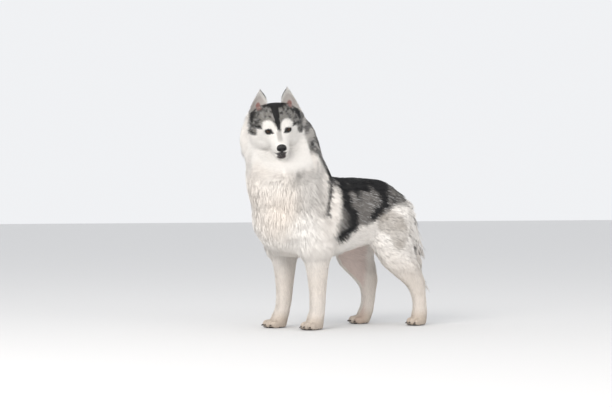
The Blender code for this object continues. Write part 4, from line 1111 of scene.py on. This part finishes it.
def grow_coat(skin):
    """Roots, middles and tips of tufts over the whole skin, bent along the lie of the coat."""
    rng = np.random.default_rng(SEED)
    root, normal, uv = scatter(skin, rng)
    count = len(root)
    sizes = coat_sizes(root)
    depth, length, width = sizes[:, 0], sizes[:, 1], sizes[:, 2]
    length = length * rng.uniform(0.75, 1.2, count)
    width = width * rng.uniform(0.7, 1.3, count)
    faces = [tuple(face.vertices) for face in skin.data.polygons]
    tree = BVHTree.FromPolygons([v.co for v in skin.data.vertices], faces)
    flow = along(lie_of(root) + rng.normal(0, STRAY, (count, 3)), normal)
    half_way, normal_1 = on_skin(tree, root + flow * (length * 0.5)[:, None], normal)
    flow_1 = along(flow, normal_1)
    end, normal_2 = on_skin(tree, half_way + flow_1 * (length * 0.5)[:, None], normal_1)
    bunched = ramp(sizes[:, 1], 1.2, 3.0)
    member = bunches(root, normal, sizes[:, 1] * BUNCH_SHARE)
    lift = rng.uniform(-1, 1, member.max() + 1)[member]
    fringe = ramp(root[:, 1], 14.0, 18.0) * ramp(root[:, 2], 26.0, 32.0)
    reach = rng.uniform(0.7, 1.0, count) * (1 + (0.15 + 0.5 * fringe) * bunched * lift)
    reach += 0.35 * fringe * np.maximum(lift, 0)
    middle = half_way + normal_1 * (depth * MIDDLE_HEIGHT * reach)[:, None]
    tip = end + normal_2 * (depth * (TIP_HEIGHT + 0.3 * fringe) * reach)[:, None]
    middle = clump(member, middle, 0.10 * bunched)
    tip = clump(member, tip, (0.30 + 0.2 * fringe) * bunched)
    lie = lie_of(root)
    straight = ramp((lie * normal).sum(axis=1), 0.5, 0.85)[:, None]
    middle = middle * (1 - straight) + (root + lie * (0.35 * length)[:, None]) * straight
    tip = tip * (1 - straight) + (root + lie * (0.7 * length)[:, None]) * straight
    base = root - normal * (0.12 * depth + 0.03)[:, None]
    return {
        "base": base, "middle": middle, "tip": tip, "normal": normal, "normal_1": normal_1,
        "flow": flow, "width": width, "root": root, "uv": uv,
    }


def tuft_mesh(name, coat, chosen, colours):
    """One closed mesh of many tufts, each with a root ring, a middle ring and a tip."""
    base, middle, tip = coat["base"][chosen], coat["middle"][chosen], coat["tip"][chosen]
    count = len(base)
    up, up_1 = coat["normal"][chosen], coat["normal_1"][chosen]
    side, side_1 = unit(np.cross(up, middle - base)), unit(np.cross(up_1, tip - middle))
    half = (coat["width"][chosen] / 2)[:, None]
    rings = []
    for centre, across, out, scale in ((base, side, up, 0.8), (middle, side_1, up_1, 1.0)):
        reach = half * scale
        rings += [centre + across * reach, centre + out * reach * TUFT_THICKNESS, centre - across * reach]
    vertices = np.stack([*rings, tip], 1)
    pattern = np.array(TUFT_FACES)
    faces = pattern[None] + (np.arange(count) * 7)[:, None, None]
    mesh = bpy.data.meshes.new(name)
    mesh.vertices.add(count * 7)
    mesh.vertices.foreach_set("co", to_frame(vertices.reshape(-1, 3)).astype(np.float32).ravel())
    mesh.loops.add(count * 30)
    mesh.polygons.add(count * 10)
    mesh.loops.foreach_set("vertex_index", faces.ravel().astype(np.int32))
    mesh.polygons.foreach_set("loop_start", np.arange(0, count * 30, 3, dtype=np.int32))
    mesh.polygons.foreach_set("loop_total", np.full(count * 10, 3, np.int32))
    mesh.polygons.foreach_set("use_smooth", np.ones(count * 10, bool))
    spread = UV_PATCH * np.array(TUFT_SPREAD)
    at = coat["uv"][chosen][:, None] + spread[None]
    layer = mesh.uv_layers.new(name="OFBake")
    layer.data.foreach_set("uv", at[:, pattern].reshape(-1, 2).astype(np.float32).ravel())
    mesh.update()
    tilt, tilt_1 = SIDE_SHADE * side, SIDE_SHADE * side_1
    soft = unit(np.stack([up + tilt, up, up - tilt, up_1 + tilt_1, up_1, up_1 - tilt_1, up_1], 1))
    mesh.normals_split_custom_set_from_vertices(soft.reshape(-1, 3))
    # Painted shade and light on each tuft: darker at its root, a little lighter at its tip.
    painted_shading = np.array(TUFT_PAINTED_SHADING)
    with_painted_shade = colours[chosen][:, None] * painted_shading[None, :, None]
    paint(mesh, with_painted_shade.reshape(-1, 3))
    return in_scene(name, mesh)


def dress(skin):
    """The coat as several pieces, each riding on the body."""
    coat = grow_coat(skin)
    rng = np.random.default_rng(SEED + 1)
    count = len(coat["root"])
    sample = coat["root"] + (coat["tip"] - coat["root"]) * TUFT_COLOUR_AT
    colours = coat_colours(sample, coat["normal"])
    shade = colours.mean(axis=1)
    dark = (shade > 0.05) & (shade < 0.35)
    fleck = rng.random(count)
    colours = np.where((dark & (fleck > 0.86))[:, None], colours * 0.4 + 0.30, colours)
    colours *= rng.uniform(0.90, 1.05, count)[:, None]
    fur = coat_material("fur", {"Roughness": 0.6, "Specular IOR Level": 0.25})
    order = np.argsort(coat["root"][:, 1], kind="stable")
    for k in range(0, count, TUFTS_IN_PIECE):
        piece = tuft_mesh(f"coat_{k // TUFTS_IN_PIECE + 1}", coat, order[k : k + TUFTS_IN_PIECE], colours)
        piece.data.materials.append(fur)
        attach(piece, "root")


def eyes():
    """Eyeballs with a dark pupil, a brown iris and a wet surface."""
    wet = {"Roughness": 0.15, "Specular IOR Level": 0.1, "Coat Weight": 0.5, "Coat Roughness": 0.02}
    material = coat_material("eye", wet)
    for side, tag in ((1, "left"), (-1, "right")):
        ball = bmesh.new()
        bmesh.ops.create_uvsphere(ball, u_segments=64, v_segments=64, radius=EYE_RADIUS)
        ball.transform(Matrix.Rotation(math.radians(90), 4, "X"))
        places = np.array([v.co for v in ball.verts])
        ball.transform(eye_gaze(side))
        eye = object_from(f"{tag}_eyeball", [ball])
        off_axis = np.degrees(np.arccos(np.clip(-places[:, 1] / EYE_RADIUS, -1, 1)))
        turn = np.arctan2(places[:, 0], places[:, 2])
        streaks = 0.5 + 0.5 * np.sin(turn * 23) * np.sin(turn * 7 + 1)
        iris = lay(np.tile(IRIS, (len(places), 1)), IRIS_STREAK, 0.6 * streaks)
        outside = ramp(off_axis, IRIS_REACH - 1.5, IRIS_REACH + 1.5)
        colours = lay(np.tile(EYEBALL, (len(places), 1)), iris, 1 - outside)
        colours = lay(colours, IRIS_EDGE, band(off_axis, IRIS_REACH - 0.5, 2.5, 5.0))
        colours = lay(colours, PUPIL, 1 - ramp(off_axis, PUPIL_REACH - 1.0, PUPIL_REACH + 1.0))
        paint(eye.data, colours)
        wear(eye, material)
        finish_piece(eye, f"{tag}_eye")


def lid_rims():
    """A thin black rim along the edge of each eye's opening."""
    finish = {"Roughness": 0.55, "Specular IOR Level": 0.2}
    material = plain_material("lid_rim", (0.004, 0.003, 0.003), finish)
    for side, tag in ((1, "left"), (-1, "right")):
        eye = eye_place(side)
        path = [
            eye + (point - eye).normalized() * (EYE_RADIUS + 0.10) for point in almond(side, 0.9, 1.02, 48)
        ]
        rings = []
        for i, point in enumerate(path):
            ahead = (path[(i + 1) % len(path)] - path[i - 1]).normalized()
            out = (point - eye).normalized()
            across = ahead.cross(out).normalized()
            rings.append([
                point + across * RIM_ACROSS * math.cos(a) + out * RIM_OUT * math.sin(a)
                for a in (2 * math.pi * k / 10 for k in range(10))
            ])
        rim = object_from(f"{tag}_lid_rim", [loft(rings, HEAD, round_trip=True)])
        wear(rim, material)
        finish_piece(rim, None)


def nose():
    """The nose pad, with its nostrils, side slits and the groove between."""
    x, y, z = NOSE_AT
    a, b, c = NOSE_RADII
    bodies = [ellipsoid(NOSE_AT, (a * 0.97, b, c), matrix=HEAD, segments=40)]
    for side in (-1, 1):
        bodies.append(ellipsoid((side * 0.98, y - 0.15, z - 0.1), (0.86, 1.0, 0.98), NO_TURN, HEAD, 32))
    bodies.append(ellipsoid((0, y - 0.1, z - 1.3), (0.42, 0.75, 0.95), NO_TURN, HEAD, 32))
    pad = object_from("nose_pad", bodies)
    fuse(pad, NOSE_VOXEL)
    holes = [ellipsoid((0, y - 1.22, z - 0.9), (0.10, 0.3, 1.3), NO_TURN, HEAD, 16)]
    for side in (-1, 1):
        nostril, slit = (side * 0.80, y - 1.2, z - 0.12), (side * 1.35, y - 0.9, z - 0.42)
        holes.append(ellipsoid(nostril, (0.40, 0.75, 0.44), (0, side * -28, 0), HEAD, 24))
        holes.append(ellipsoid(slit, (0.55, 0.6, 0.15), (0, side * 22, 0), HEAD, 24))
    cut(pad, holes)
    ease(pad, 0.5, ("", 3))
    finish = {"Roughness": 0.5, "Coat Weight": 0.08, "Coat Roughness": 0.25}
    leather = plain_material("nose_leather", (0.004, 0.0035, 0.004), finish)
    relief(leather, "ShaderNodeTexVoronoi", "Distance", 260.0, 0.6, NOSE_RELIEF)
    wear(pad, leather)
    finish_piece(pad, "nose")


def claws():
    """Sixteen hooked claws, each in place of its own solid."""
    horn = plain_material("claw_horn", (0.045, 0.033, 0.026), {"Roughness": 0.35, "Coat Weight": 0.2})
    for name in PAWS:
        for k, (x, y, z, turn) in enumerate(claw_places(name)):
            place = Matrix.Translation((x, y, z)) @ Matrix.Rotation(math.radians(turn), 4, "Z")
            rings = [section((0, a, b), X_AXIS, Z_AXIS, r, r, r, 2.0, 14) for a, b, r in CLAW]
            claw = object_from(f"{name}_horn_{k + 1}", [loft(rings, place)])
            wear(claw, horn)
            finish_piece(claw, f"{name}_claw_{k + 1}")


def whiskers():
    """Stiff curved hairs in three rows on each side of the muzzle."""
    rng = np.random.default_rng(SEED + 2)
    pieces = []
    for side, row, place in itertools.product((-1, 1), range(3), range(4)):
        root = Vector((side * (2.3 + 0.35 * row), -11.4 + 0.85 * place, -4.0 - 0.45 * row))
        length = rng.uniform(3.2, 6.5)
        out, back, fall = rng.uniform(0.7, 1.0), rng.uniform(-0.1, 0.6), rng.uniform(-0.35, 0.1)
        way = Vector((side * out, back, fall)).normalized()
        rings = []
        for k in range(6):
            t = k / 5
            centre = root + way * length * t + Vector((0, 0.9 * t * t, -0.9 * t * t))
            thick = WHISKER_RADIUS * (1 - 0.85 * t)
            rings.append([
                centre + Vector((0, math.cos(a), math.sin(a))) * thick for a in (0.0, 2.09, 4.19)
            ])
        pieces.append(loft(rings, HEAD))
    hairs = object_from("whiskers", pieces)
    wear(hairs, plain_material("whisker", (0.55, 0.52, 0.48), {"Roughness": 0.4}))
    finish_piece(hairs, None)


def finish_piece(obj, node):
    """Set a piece made in the dog's centimetres into the frame, in place of its solid."""
    stand_in_frame(obj)
    obj.data.shade_smooth()
    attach(obj, "root")
    if node:
        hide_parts(node)


def dressed_skin():
    """The whole dog's skin and coat, in place of the solids of flesh."""
    skin = make_skin()
    thin_skin(skin)
    open_face(skin)
    unwrap(skin)
    dress(skin)
    # The skin takes the coat's colours, darkened as painted shade beneath the tufts.
    paint(skin.data, coat_colours(points_of(skin), normals_of(skin)) * SKIN_PAINTED_SHADE)
    material = coat_material("skin", {"Roughness": 0.8, "Specular IOR Level": 0.25})
    hairs = relief(material, "ShaderNodeTexNoise", "Fac", 520.0, 0.5, SKIN_RELIEF)
    hairs.inputs["Detail"].default_value = 3.0
    wear(skin, material)
    skin.data.shade_smooth()
    stand_in_frame(skin)
    flesh = [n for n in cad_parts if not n.endswith("_eye") and "claw" not in n and n != "nose"]
    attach(skin, "root")
    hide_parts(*flesh)


def camera_and_light():
    """The photo's camera, a pale floor and soft studio light."""
    data = bpy.data.cameras.new("camera")
    data.sensor_width = 36.0
    data.lens = LENS
    camera = in_scene("camera", data)
    camera.location = CAMERA_PLACE * CM + SHIFT
    camera.rotation_euler = CAMERA_BACK.to_track_quat("Z", "Y").to_euler()
    bpy.context.scene.view_settings.view_transform = "Standard"
    bpy.context.scene.camera = camera
    bpy.ops.mesh.primitive_plane_add(size=60, location=(0, 0, 0))
    floor = bpy.context.object
    floor.name = "floor"
    floor.data.materials.append(plain_material("floor", (0.72, 0.72, 0.72), {"Roughness": 0.9}))
    world = bpy.data.worlds.new("studio")
    world.use_nodes = True
    world.node_tree.nodes["Background"].inputs["Color"].default_value = (0.92, 0.93, 0.95, 1)
    world.node_tree.nodes["Background"].inputs["Strength"].default_value = 0.95
    bpy.context.scene.world = world
    for name, at, energy, size in (("key", (2.5, -4.0, 3.6), 170, 3.0), ("fill", (5.5, 1.5, 2.5), 55, 3.0)):
        light = bpy.data.lights.new(name, "AREA")
        light.energy, light.size = energy, size
        light.color = (1.0, 0.96, 0.91)
        lamp = in_scene(name, light)
        lamp.location = at
        lamp.rotation_euler = (Vector(at) - Vector((0, 0, 0.5))).to_track_quat("Z", "Y").to_euler()


dressed_skin()
eyes()
lid_rims()
nose()
claws()
whiskers()
camera_and_light()
